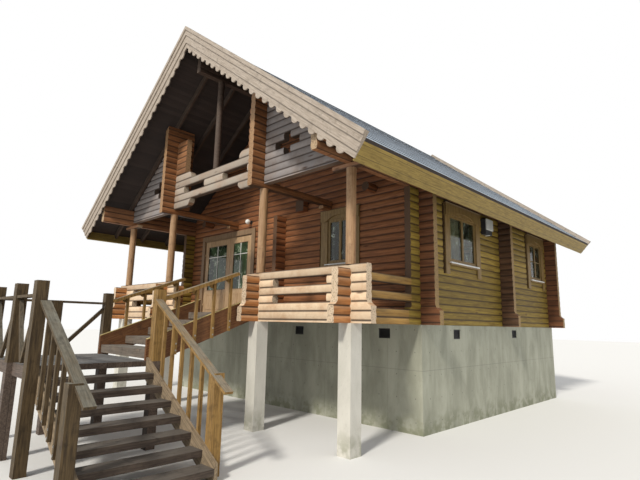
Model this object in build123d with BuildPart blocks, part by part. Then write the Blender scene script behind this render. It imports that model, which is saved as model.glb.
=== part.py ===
import math
import os

from build123d import *

os.makedirs("parts", exist_ok=True)

# Logs. Each row is one log high, rounded at its faces and narrower at the joint between rows.
row = 160.0
log_width = 156.0
joint_width = 118.0
half_log = log_width / 2
half_joint = joint_width / 2

# First joint above the log base. Crossing walls lie half a row apart.
x_joint = 48.0
y_joint = x_joint + row / 2
panel_joint = 104.0

# Levels above the lowest ground contact.
riser = 178.0
lower_risers = 8
upper_risers = 5
landing_level = riser * lower_risers
deck_level = riser * (lower_risers + upper_risers)
floor_depth = 184.0
board = 40.0
log_base = deck_level - floor_depth

# Heights above the log base.
wall_top = x_joint + 18 * row
plate_base = y_joint + 17 * row
plate_top = plate_base + 3 * row
rail_top = x_joint + 6 * row
panel_base = wall_top + 16.0
upper_floor_base = 2900.0
upper_floor_depth = 140.0
balcony_joint = 2984.0
balcony_row = 190.0
balcony_top = balcony_joint + 5 * balcony_row

# Plan, on the centre lines of the log walls. The front wall stands on y = 0.
half_width = 4440.0
house_length = 7500.0
porch_depth = 2200.0
bay_half = 1950.0
partition_x = 240.0
partition_y = 0.527 * house_length
inner_x = half_width - half_log
inner_rear = house_length - half_log

# Log ends beyond a crossing, longer in the lowest rows.
stub = half_log + 328.0
foot = stub + 96.0
foot_low = y_joint + row
foot_top = foot_low + row

# Roof. The slope is the rise of the surface for each millimetre across.
slope = 0.770
pitch = math.atan(slope)
surface_at_wall = 3600.0
ridge_surface = surface_at_wall + slope * half_width
eave_run = half_width + 1160.0
eave_length = eave_run / math.cos(pitch)
front_eave_y = -porch_depth - 1134.0
rear_eave_y = house_length + 900.0
roof_thickness = 56.0
roof_courses = 16
course_step = 9.0
rafter_depth = 150.0
rafter_width = 60.0
rafter_pairs = 14
rafter_gap = 4.0
frame_drop = roof_thickness + rafter_depth

# Bargeboards, as depths square to the slope, and the fascias.
barge_rise = 100.0
barge_layers = ((-barge_rise, -25.0, 96.0), (-25.0, 85.0, 72.0), (85.0, 240.0, 48.0))
scallop_thickness = 24.0
scallop_top = 240.0
scallop_base = 345.0
scallop_tip = 413.0
scallop_pitch = 270.0
scallop_width = 190.0
fascia_thickness = 32.0
fascia_low = 386.0

# Foundation, piers and posts.
foundation_out = 98.0
foundation_thickness = 300.0
vent_width = 300.0
vent_height = 208.0
vent_drop = 88.0
vents_across = (0.22, 0.815)
vents_along = (0.182, 0.61)
pier_size = 280.0
post_radius = 92.0

# Door opening and its two leaves.
door_left = -3640.0
door_right = -1195.0
door_split = -2272.0
door_frame_width = 60.0
door_top = x_joint + 16 * row
door_trim = 176.0
trim_thickness = 30.0
trim_reveal = 20.0
leaf_gap = 8.0
leaf_thickness = 50.0
hinge_half = 60.0
hinge_radius = 9.0
pin_radius = 5.0
hinge_tab = 32.0
hinge_plate = 8.0
hinge_y = -half_log - hinge_radius - 1.0
hinge_levels = (300.0, 1900.0)

# Windows.
window_sill = 1392.0
window_height = 1180.0
window_head = 190.0
window_trim = 176.0
window_foot = 255.0
bracket_low = window_sill + window_height + window_head
casing = 45.0
sash = 55.0

# Stairs.
going = 315.0
upper_going = 480.0
tread = 90.0
string_thickness = 50.0
newel = 160.0
baluster = 50.0
hand = 1060.0
handrail_width = 140.0
handrail_depth = 40.0
upper_handrail_depth = 65.0
landing_rail = 1026.0
deck_step = 300.0
nosing = 18.0
apron = 150.0
newel_height = 1218.0
rail_end_gap = 20.0
flight_left = -240.0
flight_right = 1840.0
deck_edge = -porch_depth - half_log
upper_foot = deck_edge - deck_step - upper_going * (upper_risers - 1)
landing_left = flight_left
landing_right = flight_right + 32.0
landing_inner = upper_foot + nosing
landing_outer = landing_inner - 1760.0


def label_and_save(part, name):
    part.label = name
    export_step(part, f"parts/{name}.step")


def block(x_from, x_to, y_from, y_to, z_from, z_to, mode=Mode.ADD):
    """A box between plan positions, with its heights above the log base."""
    middle = ((x_from + x_to) / 2, (y_from + y_to) / 2, log_base + (z_from + z_to) / 2)
    with Locations(middle):
        Box(abs(x_to - x_from), y_to - y_from, z_to - z_from, mode=mode)


def log_section(plane, joint, low, high, flat, height):
    """Section of stacked logs between two heights; flat names the side left flat, or 0."""
    first = math.floor((low - joint) / height)
    last = math.ceil((high - joint) / height)
    bottom = joint + first * height
    top = joint + last * height
    edge = {-1: -half_joint, 1: half_joint}
    with BuildSketch(plane) as section:
        with BuildLine():
            for side in (-1, 1):
                if side == flat:
                    edge[side] = side * half_log
                    Line((edge[side], bottom), (edge[side], top))
                    continue
                for k in range(first, last):
                    z = joint + k * height
                    crest = (side * half_log, z + height / 2)
                    ThreePointArc((edge[side], z), crest, (edge[side], z + height))
            Line((edge[-1], bottom), (edge[1], bottom))
            Line((edge[-1], top), (edge[1], top))
        make_face()
        with Locations((0, (low + high) / 2)):
            Rectangle(2 * log_width, high - low, mode=Mode.INTERSECT)
    return section.sketch


def logs_x(joint, low, high, x_from, x_to, y, flat=0, height=row):
    """Stacked logs along x on the line y."""
    start = min(x_from, x_to)
    plane = Plane(origin=(start, y, log_base), x_dir=(0, 1, 0), z_dir=(1, 0, 0))
    extrude(log_section(plane, joint, low, high, flat, height), amount=abs(x_to - x_from))


def logs_y(joint, low, high, y_from, y_to, x, flat=0):
    """Stacked logs along y on the line x."""
    plane = Plane(origin=(x, y_to, log_base), x_dir=(1, 0, 0), z_dir=(0, -1, 0))
    extrude(log_section(plane, joint, low, high, flat, row), amount=y_to - y_from)


def trim_log_ends(x, y, out, top):
    """Cuts the log ends beyond the crossing at x, y back to the stub, above a curved foot."""
    plane = Plane(origin=(x, y, log_base), x_dir=(*out, 0), z_dir=(out[1], -out[0], 0))
    with BuildSketch(plane) as beyond:
        with BuildLine():
            ThreePointArc(
                (foot, foot_low),
                (stub + 0.3 * (foot - stub), foot_low + 0.3 * (foot_top - foot_low)),
                (stub, foot_top),
            )
            Line((stub, foot_top), (stub, top))
            Line((stub, top), (foot + row, top))
            Line((foot + row, top), (foot + row, foot_low))
            Line((foot + row, foot_low), (foot, foot_low))
        make_face()
    extrude(beyond.sketch, amount=half_log, both=True, mode=Mode.SUBTRACT)


def roof_point(side, along, depth):
    """Point of the roof's section, along the slope from the ridge and square below its surface."""
    x = along * math.cos(pitch) - depth * math.sin(pitch)
    z = ridge_surface - along * math.sin(pitch) - depth * math.cos(pitch)
    return (side * x, z)


def roof_profile(y_to):
    """Plane of the roof's section; it is extruded towards the front."""
    return Plane(origin=(0, y_to, log_base), x_dir=(1, 0, 0), z_dir=(0, -1, 0))


def slope_board(side, depth_top, depth_low, along_to, y_from, y_to, mitre_gap=0):
    """A board along the slope from the ridge mitre, square at its lower end."""
    with BuildSketch(roof_profile(y_to)) as strip:
        Polygon(
            roof_point(side, mitre_gap + depth_top * math.tan(pitch), depth_top),
            roof_point(side, along_to, depth_top),
            roof_point(side, along_to, depth_low),
            roof_point(side, mitre_gap + depth_low * math.tan(pitch), depth_low),
            align=None,
        )
    extrude(strip.sketch, amount=y_to - y_from)


def cut_above_roof(y_from, y_to):
    """Takes away what reaches above the lower face of the rafters."""
    peak = ridge_surface - frame_drop / math.cos(pitch)
    fall = slope * eave_run
    with BuildSketch(roof_profile(y_to)) as above:
        Polygon(
            (0, peak),
            (eave_run, peak - fall),
            (eave_run, peak + fall),
            (-eave_run, peak + fall),
            (-eave_run, peak - fall),
            align=None,
        )
    extrude(above.sketch, amount=y_to - y_from, mode=Mode.SUBTRACT)


def beam(start, end, width, depth):
    """A straight bar; its width is level and its depth square to its length."""
    a = Vector(*start) + Vector(0, 0, log_base)
    b = Vector(*end) + Vector(0, 0, log_base)
    along = (b - a).normalized()
    across = Vector(-along.Y, along.X, 0).normalized()
    with BuildSketch(Plane(origin=a, x_dir=across, z_dir=along)) as section:
        Rectangle(width, depth)
    extrude(section.sketch, amount=(b - a).length)


# Foundation walls with vents.
outer_x = half_width + foundation_out
outer_front = -foundation_out
outer_rear = house_length + foundation_out
hollow_x = outer_x - foundation_thickness
hollow_front = outer_front + foundation_thickness
hollow_rear = outer_rear - foundation_thickness
with BuildPart() as foundation:
    block(-outer_x, outer_x, outer_front, outer_rear, -log_base, 0)
    block(-hollow_x, hollow_x, hollow_front, hollow_rear, -log_base, 0, Mode.SUBTRACT)
    vent_top = -vent_drop
    vent_low = vent_top - vent_height
    for part_of_width in vents_across:
        for side in (-1, 1):
            x = side * part_of_width * half_width
            a = x - vent_width / 2
            b = x + vent_width / 2
            block(a, b, outer_front, hollow_front, vent_low, vent_top, Mode.SUBTRACT)
            block(a, b, hollow_rear, outer_rear, vent_low, vent_top, Mode.SUBTRACT)
    for part_of_length in vents_along:
        y = part_of_length * house_length
        a = y - vent_width / 2
        b = y + vent_width / 2
        block(-outer_x, -hollow_x, a, b, vent_low, vent_top, Mode.SUBTRACT)
        block(hollow_x, outer_x, a, b, vent_low, vent_top, Mode.SUBTRACT)
label_and_save(foundation.part, "foundation")

# Ground floor: boards on joists.
joist = 60.0
joists = 12
with BuildPart() as ground_floor:
    block(-inner_x, inner_x, half_log, inner_rear, floor_depth - board, floor_depth)
    spacing = (inner_rear - half_log - joist) / (joists - 1)
    for k in range(joists):
        y = half_log + k * spacing
        block(-inner_x, inner_x, y, y + joist, 0, floor_depth - board)
label_and_save(ground_floor.part, "ground_floor")

# Windows: name of the wall's windows, turn, and for each the plan position, width and bars.
front_window_at = 2298.0
side_window_at = (0.2437 * house_length, 0.8715 * house_length)
side_window_widths = (1384.0, 1008.0)
front_window_width = 880.0
rear_window_width = 1008.0
rear_window_at = 0.52 * half_width
window_walls = (
    ("front_window", 0, ((front_window_at, 0.0, front_window_width),)),
    ("right_windows", 90, tuple((half_width, y, w) for y, w in zip(side_window_at, side_window_widths))),
    ("left_windows", -90, tuple((-half_width, y, w) for y, w in zip(side_window_at, side_window_widths))),
    (
        "rear_windows",
        180,
        tuple((x, house_length, rear_window_width) for x in (-rear_window_at, rear_window_at)),
    ),
)
groove = 70.0
groove_depth = 60.0


def cut_window_x(x, y, width, out):
    """Cuts a window opening and the settling groove beside it in a wall along x."""
    a = y - half_log
    b = y + half_log
    top = window_sill + window_height
    block(x - width / 2, x + width / 2, a, b, window_sill, top, Mode.SUBTRACT)
    edge = x - out * (width / 2 + window_trim)
    near = y - out * half_log
    far = near + out * groove_depth
    g = sorted((edge, edge - out * groove))
    d = sorted((near, far))
    block(g[0], g[1], d[0], d[1], window_sill - window_foot, top + window_head, Mode.SUBTRACT)


# Walls along x.
reach = half_width + foot
jamb_left = door_left - door_frame_width
jamb_right = door_right + door_frame_width
with BuildPart() as front_wall_left:
    logs_x(x_joint, 0, wall_top, -reach, jamb_left, 0, flat=1)
    trim_log_ends(-half_width, 0, (-1, 0), wall_top)
    block(-half_width - half_log, -inner_x, -half_log, half_log, plate_base, wall_top, Mode.SUBTRACT)
label_and_save(front_wall_left.part, "front_wall_left")

with BuildPart() as front_wall_right:
    logs_x(x_joint, 0, wall_top, jamb_right, reach, 0, flat=1)
    trim_log_ends(half_width, 0, (1, 0), wall_top)
    block(inner_x, half_width + half_log, -half_log, half_log, plate_base, wall_top, Mode.SUBTRACT)
    cut_window_x(front_window_at, 0, front_window_width, 1)
label_and_save(front_wall_right.part, "front_wall_right")

with BuildPart() as front_wall_over_door:
    logs_x(x_joint, door_top, wall_top, jamb_left, jamb_right, 0, flat=1)
label_and_save(front_wall_over_door.part, "front_wall_over_door")

with BuildPart() as rear_wall:
    logs_x(x_joint, 0, wall_top, -reach, reach, house_length, flat=-1)
    logs_x(x_joint, wall_top, ridge_surface, -inner_x, inner_x, house_length, flat=-1)
    for side in (-1, 1):
        trim_log_ends(side * half_width, house_length, (side, 0), wall_top)
        a = side * half_width - half_log
        b = side * half_width + half_log
        block(a, b, inner_rear, house_length + half_log, plate_base, wall_top, Mode.SUBTRACT)
        cut_window_x(side * rear_window_at, house_length, rear_window_width, -1)
    cut_above_roof(inner_rear - row, house_length + foot)
label_and_save(rear_wall.part, "rear_wall")

# Side walls stop at the faces of the front and rear walls and go on beyond them.
for side, name in ((-1, "side_wall_left"), (1, "side_wall_right")):
    with BuildPart() as side_wall:
        x = side * half_width
        logs_y(y_joint, 0, plate_base, half_log, inner_rear, x, flat=-side)
        logs_y(y_joint, 0, plate_base, -foot, -half_log, x)
        logs_y(y_joint, 0, plate_base, house_length + half_log, house_length + foot, x)
        trim_log_ends(x, 0, (0, -1), plate_base)
        trim_log_ends(x, house_length, (0, 1), plate_base)
        top = window_sill + window_height
        face = x + side * half_log
        for y, width in zip(side_window_at, side_window_widths):
            a = x - half_log
            b = x + half_log
            block(a, b, y - width / 2, y + width / 2, window_sill, top, Mode.SUBTRACT)
            edge = y - width / 2 - window_trim
            low = window_sill - window_foot
            block(face - side * groove_depth, face, edge - groove, edge, low, top + window_head, Mode.SUBTRACT)
    label_and_save(side_wall.part, name)

# Log ends of the inner walls, standing out of the outer walls.
with BuildPart() as partition_log_ends:
    logs_y(y_joint, 0, plate_base, -foot, -half_log, partition_x)
    trim_log_ends(partition_x, 0, (0, -1), plate_base)
    for side in (-1, 1):
        x = side * half_width
        logs_x(x_joint, 0, plate_base, x + side * half_log, x + side * foot, partition_y)
        trim_log_ends(x, partition_y, (side, 0), plate_base)
label_and_save(partition_log_ends.part, "partition_log_ends")

# Door frame with its trim boards, and the two leaves on lift-off barrel hinges.
frame_top = door_top - door_frame_width


def hinge_barrel(x, z, height, radius, mode=Mode.ADD):
    with Locations((x, hinge_y, log_base + z + height / 2)):
        Cylinder(radius, height, mode=mode)


with BuildPart() as door_frame:
    block(jamb_left, jamb_right, -half_log, half_log, floor_depth - board, door_top)
    block(door_left, door_right, -half_log, half_log, floor_depth, frame_top, Mode.SUBTRACT)
    face = -half_log - trim_thickness
    trim_top = door_top + door_trim - door_frame_width
    trim_left = door_left - trim_reveal
    trim_right = door_right + trim_reveal
    block(door_left - door_trim, trim_left, face, -half_log, floor_depth, trim_top)
    block(trim_right, door_right + door_trim, face, -half_log, floor_depth, trim_top)
    block(trim_left, trim_right, face, -half_log, frame_top + trim_reveal, trim_top)
    for side, edge in ((-1, door_left), (1, door_right)):
        x = edge - side * leaf_gap / 2
        for z in hinge_levels:
            hinge_barrel(x, floor_depth + z - hinge_half, hinge_half, hinge_radius)
            hinge_barrel(x, floor_depth + z - 1, hinge_half, pin_radius)
            tab = edge + side * hinge_radius
            block(x, tab, hinge_y - hinge_plate / 2, -half_log, floor_depth + z - hinge_half, floor_depth + z - 1)
label_and_save(door_frame.part, "door_frame")

leaf_base = floor_depth + leaf_gap
leaf_top = frame_top - leaf_gap
leaf_front = -half_log + 10.0
stile = 170.0
glass_sill = leaf_base + 760.0
for side, edge, name in ((-1, door_left, "door_leaf_left"), (1, door_right, "door_leaf_right")):
    with BuildPart() as leaf:
        outer = edge - side * leaf_gap
        inner = door_split + side * leaf_gap / 2
        low_x = min(outer, inner)
        high_x = max(outer, inner)
        back = leaf_front + leaf_thickness
        block(low_x, high_x, leaf_front, back, leaf_base, leaf_top)
        a = low_x + stile
        b = high_x - stile
        block(a, b, leaf_front, back, glass_sill, leaf_top - stile, Mode.SUBTRACT)
        middle = (leaf_front + back) / 2
        block(a, b, middle - 6, middle + 6, glass_sill, leaf_top - stile)
        x = edge - side * leaf_gap / 2
        for z in hinge_levels:
            z_low = floor_depth + z
            hinge_barrel(x, z_low, hinge_half, hinge_radius)
            block(x, x - side * hinge_tab, hinge_y - hinge_plate / 2, leaf_front, z_low, z_low + hinge_half)
            hinge_barrel(x, z_low - 1, hinge_half + 2, pin_radius + 0.05, Mode.SUBTRACT)
    label_and_save(leaf.part, name)

# Porch: piers, posts, deck and roof frame follow the four posts.
post_xs = (-half_width, -bay_half, bay_half, half_width)
with BuildPart() as piers:
    for x in post_xs:
        a = pier_size / 2
        block(x - a, x + a, -porch_depth - a, -porch_depth + a, -log_base, 0)
label_and_save(piers.part, "piers")

deck_joists = 7
deck_inner = -porch_depth + half_log
with BuildPart() as deck:
    block(-inner_x, inner_x, deck_inner, -half_log, floor_depth - board, floor_depth)
    block(-bay_half + foot, bay_half - foot, deck_edge, deck_inner, 0, floor_depth)
    spacing = (2 * inner_x - joist) / (deck_joists - 1)
    for k in range(deck_joists):
        x = -inner_x + k * spacing
        block(x, x + joist, deck_inner, -half_log, 0, floor_depth - board)
    for x in (-bay_half, bay_half):
        a = x - half_log
        b = x + half_log
        block(a, b, deck_inner, -porch_depth + foot, 0, floor_depth, Mode.SUBTRACT)
    a = partition_x - half_log
    b = partition_x + half_log
    block(a, b, -foot, -half_log, 0, floor_depth, Mode.SUBTRACT)
label_and_save(deck.part, "deck")

with BuildPart() as porch_posts:
    for x in post_xs:
        top = x_joint + 17 * row if abs(x) == half_width else plate_base
        with BuildSketch(Plane.XY.offset(log_base + rail_top)) as disc:
            with Locations((x, -porch_depth)):
                Circle(post_radius)
        extrude(disc.sketch, amount=top - rail_top)
label_and_save(porch_posts.part, "porch_posts")

# Log railings of the porch: whole logs in rows 0, 1, 3 and 5, log ends between them.
whole_x = ((0, x_joint + 2 * row), (x_joint + 3 * row, x_joint + 4 * row), (x_joint + 5 * row, rail_top))
short_x = ((x_joint + 2 * row, x_joint + 3 * row), (x_joint + 4 * row, x_joint + 5 * row))
column_top = y_joint + 5 * row
for side, name in ((-1, "front_railing_left"), (1, "front_railing_right")):
    with BuildPart() as railing:
        y = -porch_depth
        for low, high in whole_x:
            logs_x(x_joint, low, high, side * (bay_half - foot), side * (half_width + foot), y)
        for low, high in short_x:
            for x in (side * bay_half, side * half_width):
                logs_x(x_joint, low, high, x - foot, x + foot, y)
        logs_y(y_joint, 0, column_top, y - foot, y + foot, side * bay_half)
        logs_y(y_joint, 0, column_top, y - foot, deck_inner, side * half_width)
        trim_log_ends(side * bay_half, y, (-side, 0), rail_top)
        trim_log_ends(side * bay_half, y, (0, -1), rail_top)
        trim_log_ends(side * bay_half, y, (0, 1), rail_top)
        trim_log_ends(side * half_width, y, (side, 0), rail_top)
        trim_log_ends(side * half_width, y, (0, -1), rail_top)
    label_and_save(railing.part, name)

for side, name in ((-1, "side_railing_left"), (1, "side_railing_right")):
    with BuildPart() as railing:
        x = side * half_width
        logs_y(y_joint, 0, foot_low, deck_inner, -foot, x)
        logs_y(y_joint, foot_low, foot_top, deck_inner, -porch_depth + stub, x)
        logs_y(y_joint, foot_top, foot_top + row, deck_inner, -stub, x)
        logs_y(y_joint, foot_top + row, column_top - row, deck_inner, -porch_depth + stub, x)
        logs_y(y_joint, column_top - row, column_top, deck_inner, -stub, x)
    label_and_save(railing.part, name)

# Upper floor.
floor_top = upper_floor_base + upper_floor_depth
with BuildPart() as upper_floor:
    block(-inner_x, inner_x, half_log, inner_rear, upper_floor_base, floor_top)
label_and_save(upper_floor.part, "upper_floor")

# Log panels over the outer porch bays, each with a cross cut through it.
cross_x = bay_half + 0.316 * (half_width - bay_half)
cross_z = panel_joint + 22.5 * row
cross_arm = 376.0
cross_width = 104.0
for side, name in ((-1, "gable_panel_left"), (1, "gable_panel_right")):
    with BuildPart() as panel:
        y = -porch_depth
        a = y - half_log
        b = y + half_log
        logs_x(panel_joint, panel_base, ridge_surface, side * (bay_half + half_log), side * inner_x, y)
        x = side * cross_x
        block(x - cross_width, x + cross_width, a, b, cross_z - 1.5 * row, cross_z + 1.5 * row, Mode.SUBTRACT)
        block(x - cross_arm, x + cross_arm, a, b, cross_z - row / 2, cross_z + row / 2, Mode.SUBTRACT)
        cut_above_roof(a, b)
    label_and_save(panel.part, name)

# Columns of crossing log ends beside the balcony front. The lowest log runs back to the house.
column_stub_tip = 1400.0
column_stub_low = panel_joint + 24 * row
column_stub_high = column_stub_low + 6 * row
for side, name in ((-1, "gable_column_left"), (1, "gable_column_right")):
    with BuildPart() as column:
        x = side * bay_half
        y = -porch_depth
        logs_y(y_joint, plate_base + row, ridge_surface, y - stub, y + stub, x)
        logs_y(y_joint, plate_base, plate_base + row, y - stub, -half_log, x)
        logs_y(y_joint, bracket_low, plate_base, -stub, -half_log, x)
        logs_x(panel_joint, column_stub_low, column_stub_high, side * column_stub_tip, x, y)
        cut_above_roof(y - foot, 0)
    label_and_save(column.part, name)

# Balcony front: two whole logs, a row with slots between them, and log ends above and below.
balcony_x = bay_half - half_log
balcony_stub = 820.0
slot_stub = 480.0
slot_block = 410.0
with BuildPart() as balcony_front:
    y = -porch_depth
    levels = [balcony_joint + k * balcony_row for k in range(6)]
    for k in (1, 3):
        logs_x(balcony_joint, levels[k], levels[k + 1], -balcony_x, balcony_x, y, height=balcony_row)
    logs_x(balcony_joint, levels[2], levels[3], -slot_block, slot_block, y, height=balcony_row)
    for side in (-1, 1):
        wall_face = side * balcony_x
        for k, length in ((0, balcony_stub), (2, slot_stub), (4, balcony_stub)):
            tip = wall_face - side * length
            logs_x(balcony_joint, levels[k], levels[k + 1], tip, wall_face, y, height=balcony_row)
        tip = balcony_x - balcony_stub
        for flat_level, round_level in ((levels[1], levels[0]), (levels[4], levels[5])):
            with BuildSketch(Plane(origin=(0, y, log_base), x_dir=(side, 0, 0), z_dir=(0, -side, 0))) as corner:
                with BuildLine():
                    ThreePointArc(
                        (tip, flat_level),
                        (tip + 0.293 * balcony_row, flat_level + 0.707 * (round_level - flat_level)),
                        (tip + balcony_row, round_level),
                    )
                    Line((tip + balcony_row, round_level), (tip, round_level))
                    Line((tip, round_level), (tip, flat_level))
                make_face()
            extrude(corner.sketch, amount=half_log, both=True, mode=Mode.SUBTRACT)
label_and_save(balcony_front.part, "balcony_front")

# Upper front wall behind the gable, with round beam ends and a boxed beam end standing out of it.
beam_end_x = 0.75 * half_width
beam_end_z = 19.2 * row
beam_end_radius = 0.63 * row
box_x = 1011.0
box_half = 145.0
box_front = -250.0
box_low = 2870.0
box_high = box_low + 2 * box_half
with BuildPart() as upper_front_wall:
    logs_x(x_joint, wall_top, ridge_surface, -inner_x, inner_x, 0, flat=1)
    for side in (-1, 1):
        with BuildSketch(Plane.XZ.offset(half_joint)) as disc:
            with Locations((side * beam_end_x, log_base + beam_end_z)):
                Circle(beam_end_radius)
        extrude(disc.sketch, amount=stub - half_joint)
    block(box_x - box_half, box_x + box_half, box_front, -half_log, box_low, box_high)
    block(box_x - box_half, box_x + box_half, -half_log, -half_joint, wall_top, box_high)
    cut_above_roof(-foot, half_log)
label_and_save(upper_front_wall.part, "upper_front_wall")

# Eave plates over the side walls, on short cross logs at the outer posts.
with BuildPart() as eave_plates:
    for side in (-1, 1):
        x = side * half_width
        y_from = front_eave_y + row
        y_to = rear_eave_y - row
        logs_y(y_joint, plate_base, plate_top, y_from, y_to, x)
        logs_x(x_joint, wall_top - row, plate_base, x - stub, x + stub, -porch_depth)
    cut_above_roof(front_eave_y, rear_eave_y)
label_and_save(eave_plates.part, "eave_plates")

# Roof slopes of stepped metal sheet.
sheet_front = front_eave_y + barge_layers[0][2]
sheet_rear = rear_eave_y - barge_layers[0][2]
for side, name in ((-1, "roof_left"), (1, "roof_right")):
    with BuildPart() as roof:
        course = eave_length / roof_courses
        outline = [roof_point(side, 0, 0)]
        for k in range(1, roof_courses):
            outline.append(roof_point(side, k * course, 0))
            outline.append(roof_point(side, k * course, course_step))
        outline.append(roof_point(side, eave_length, 0))
        outline.append(roof_point(side, eave_length, roof_thickness))
        outline.append(roof_point(side, roof_thickness * math.tan(pitch), roof_thickness))
        with BuildSketch(roof_profile(sheet_rear)) as profile:
            Polygon(*outline, align=None)
        extrude(profile.sketch, amount=sheet_rear - sheet_front)
    label_and_save(roof.part, name)

with BuildPart() as rafters:
    spacing = (sheet_rear - sheet_front - rafter_width) / (rafter_pairs - 1)
    for k in range(rafter_pairs):
        y = sheet_front + k * spacing
        for side in (-1, 1):
            run = eave_length - fascia_thickness
            slope_board(side, roof_thickness, frame_drop, run, y, y + rafter_width, rafter_gap)
label_and_save(rafters.part, "rafters")

# Bargeboards: boards that step back downwards, the lowest one scalloped.
for outward, y_face, name in (
    (-1, sheet_front, "front_bargeboards"),
    (1, sheet_rear, "rear_bargeboards"),
):
    with BuildPart() as boards:
        for side in (-1, 1):
            for top, low, thickness in barge_layers:
                y = sorted((y_face, y_face + outward * thickness))
                slope_board(side, top, low, eave_length, y[0], y[1])
            y = sorted((y_face, y_face + outward * scallop_thickness))
            slope_board(side, scallop_top, scallop_base, eave_length, y[0], y[1])
            first = scallop_tip * math.tan(pitch) + scallop_pitch - scallop_width
            count = int((eave_length - first) / scallop_pitch)
            with BuildSketch(roof_profile(y[1])) as lobes:
                for k in range(count):
                    start = first + k * scallop_pitch
                    with BuildLine():
                        ThreePointArc(
                            roof_point(side, start, scallop_base),
                            roof_point(side, start + scallop_width / 2, scallop_tip),
                            roof_point(side, start + scallop_width, scallop_base),
                        )
                        Line(
                            roof_point(side, start + scallop_width, scallop_base),
                            roof_point(side, start, scallop_base),
                        )
                    make_face()
            extrude(lobes.sketch, amount=y[1] - y[0])
    label_and_save(boards.part, name)

# Fascias stand square to the slope at the eaves, below the roof sheet.
with BuildPart() as fascias:
    for side in (-1, 1):
        with BuildSketch(roof_profile(sheet_rear)) as strip:
            Polygon(
                roof_point(side, eave_length, roof_thickness),
                roof_point(side, eave_length, fascia_low),
                roof_point(side, eave_length - fascia_thickness, fascia_low),
                roof_point(side, eave_length - fascia_thickness, roof_thickness),
                align=None,
            )
        extrude(strip.sketch, amount=sheet_rear - sheet_front)
label_and_save(fascias.part, "fascias")

# Ridge beam of stacked logs with its post on the balcony front.
ridge_beam_low = 6096.0
ridge_beam_out = 680.0
with BuildPart() as ridge_beam:
    logs_y(y_joint, ridge_beam_low, ridge_surface, -porch_depth - ridge_beam_out, -half_log, 0)
    cut_above_roof(-porch_depth - ridge_beam_out, 0)
    with BuildSketch(Plane.XY.offset(log_base + balcony_top - balcony_row)) as disc:
        with Locations((0, -porch_depth)):
            Circle(half_log)
    extrude(disc.sketch, amount=ridge_beam_low - balcony_top + balcony_row)
label_and_save(ridge_beam.part, "ridge_beam")


def window_unit(width):
    """Casing, trim boards, head board, sill and sashes, facing the front."""
    front = -half_log - trim_thickness
    outer = width / 2 + window_trim
    top = window_height + window_head
    with BuildPart() as unit:
        block(-width / 2, width / 2, front, half_log, 0, window_height)
        inside = width / 2 - casing
        block(-inside, inside, front, half_log, casing, window_height - casing, Mode.SUBTRACT)
        block(-inside, inside, -half_log, -half_log + sash, casing, window_height - casing)
        pane = inside - sash
        for a, b in ((-pane, -sash / 2), (sash / 2, pane)):
            block(a, b, -half_log, -half_log + sash, casing + sash, window_height - casing - sash, Mode.SUBTRACT)
        block(-outer, -width / 2, front, -half_log, -window_foot, top)
        block(width / 2, outer, front, -half_log, -window_foot, top)
        block(-width / 2, width / 2, front, -half_log, window_height, top)
        block(-width / 2, width / 2, front - trim_thickness, -half_log, -board, 0)
        with BuildSketch(Plane.XZ.offset(-front)) as head:
            with BuildLine():
                low = log_base + window_height - window_head / 2
                high = log_base + window_height
                Line((-outer, low), (-outer, log_base + top))
                Line((-outer, log_base + top), (outer, log_base + top))
                Line((outer, log_base + top), (outer, low))
                Line((outer, low), (width / 2, low))
                ThreePointArc((width / 2, low), (0, high + window_head / 4), (-width / 2, low))
                Line((-width / 2, low), (-outer, low))
            make_face()
        extrude(head.sketch, amount=trim_thickness)
    return unit.part


def glass_unit(width):
    """Two panes that fill the sashes of a window unit."""
    pane = width / 2 - casing - sash
    middle = -half_log + sash / 2
    with BuildPart() as unit:
        for a, b in ((-pane, -sash / 2), (sash / 2, pane)):
            block(a, b, middle - 4, middle + 4, casing + sash, window_height - casing - sash)
    return unit.part


for name, turn, places in window_walls:
    with BuildPart() as windows:
        for x, y, width in places:
            with Locations((x, y, window_sill)):
                add(window_unit(width), rotation=(0, 0, turn))
    label_and_save(windows.part, name)

with BuildPart() as window_glass:
    for name, turn, places in window_walls:
        for x, y, width in places:
            with Locations((x, y, window_sill)):
                add(glass_unit(width), rotation=(0, 0, turn))
label_and_save(window_glass.part, "window_glass")

# Round lamp on a bracket over the door, and the meter box on the right wall.
lamp_x = door_right - 55.0
lamp_z = 18.2 * row
lamp_radius = 75.0
lamp_bracket = 80.0
with BuildPart() as wall_lamp:
    lamp_y = -half_log - lamp_radius - 60.0
    a = lamp_bracket / 2
    block(lamp_x - a, lamp_x + a, lamp_y, -half_log, lamp_z - lamp_bracket, lamp_z + a)
    with BuildSketch(Plane.XZ) as half_globe:
        Polygon(
            (0, -lamp_radius),
            (0.6 * lamp_radius, -0.8 * lamp_radius),
            (lamp_radius, 0),
            (0.6 * lamp_radius, 0.8 * lamp_radius),
            (0, lamp_radius),
            align=None,
        )
    globe = revolve(half_globe.sketch, axis=Axis.Z, mode=Mode.PRIVATE)
    with Locations((lamp_x, lamp_y, log_base + lamp_z)):
        add(globe)
label_and_save(wall_lamp.part, "wall_lamp")

meter_y = 0.407 * house_length
meter_half = 200.0
meter_depth = 150.0
with BuildPart() as meter_box:
    x = half_width + half_log
    block(x, x + meter_depth, meter_y - meter_half, meter_y + meter_half, 14.3 * row, 17 * row)
label_and_save(meter_box.part, "meter_box")

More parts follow.
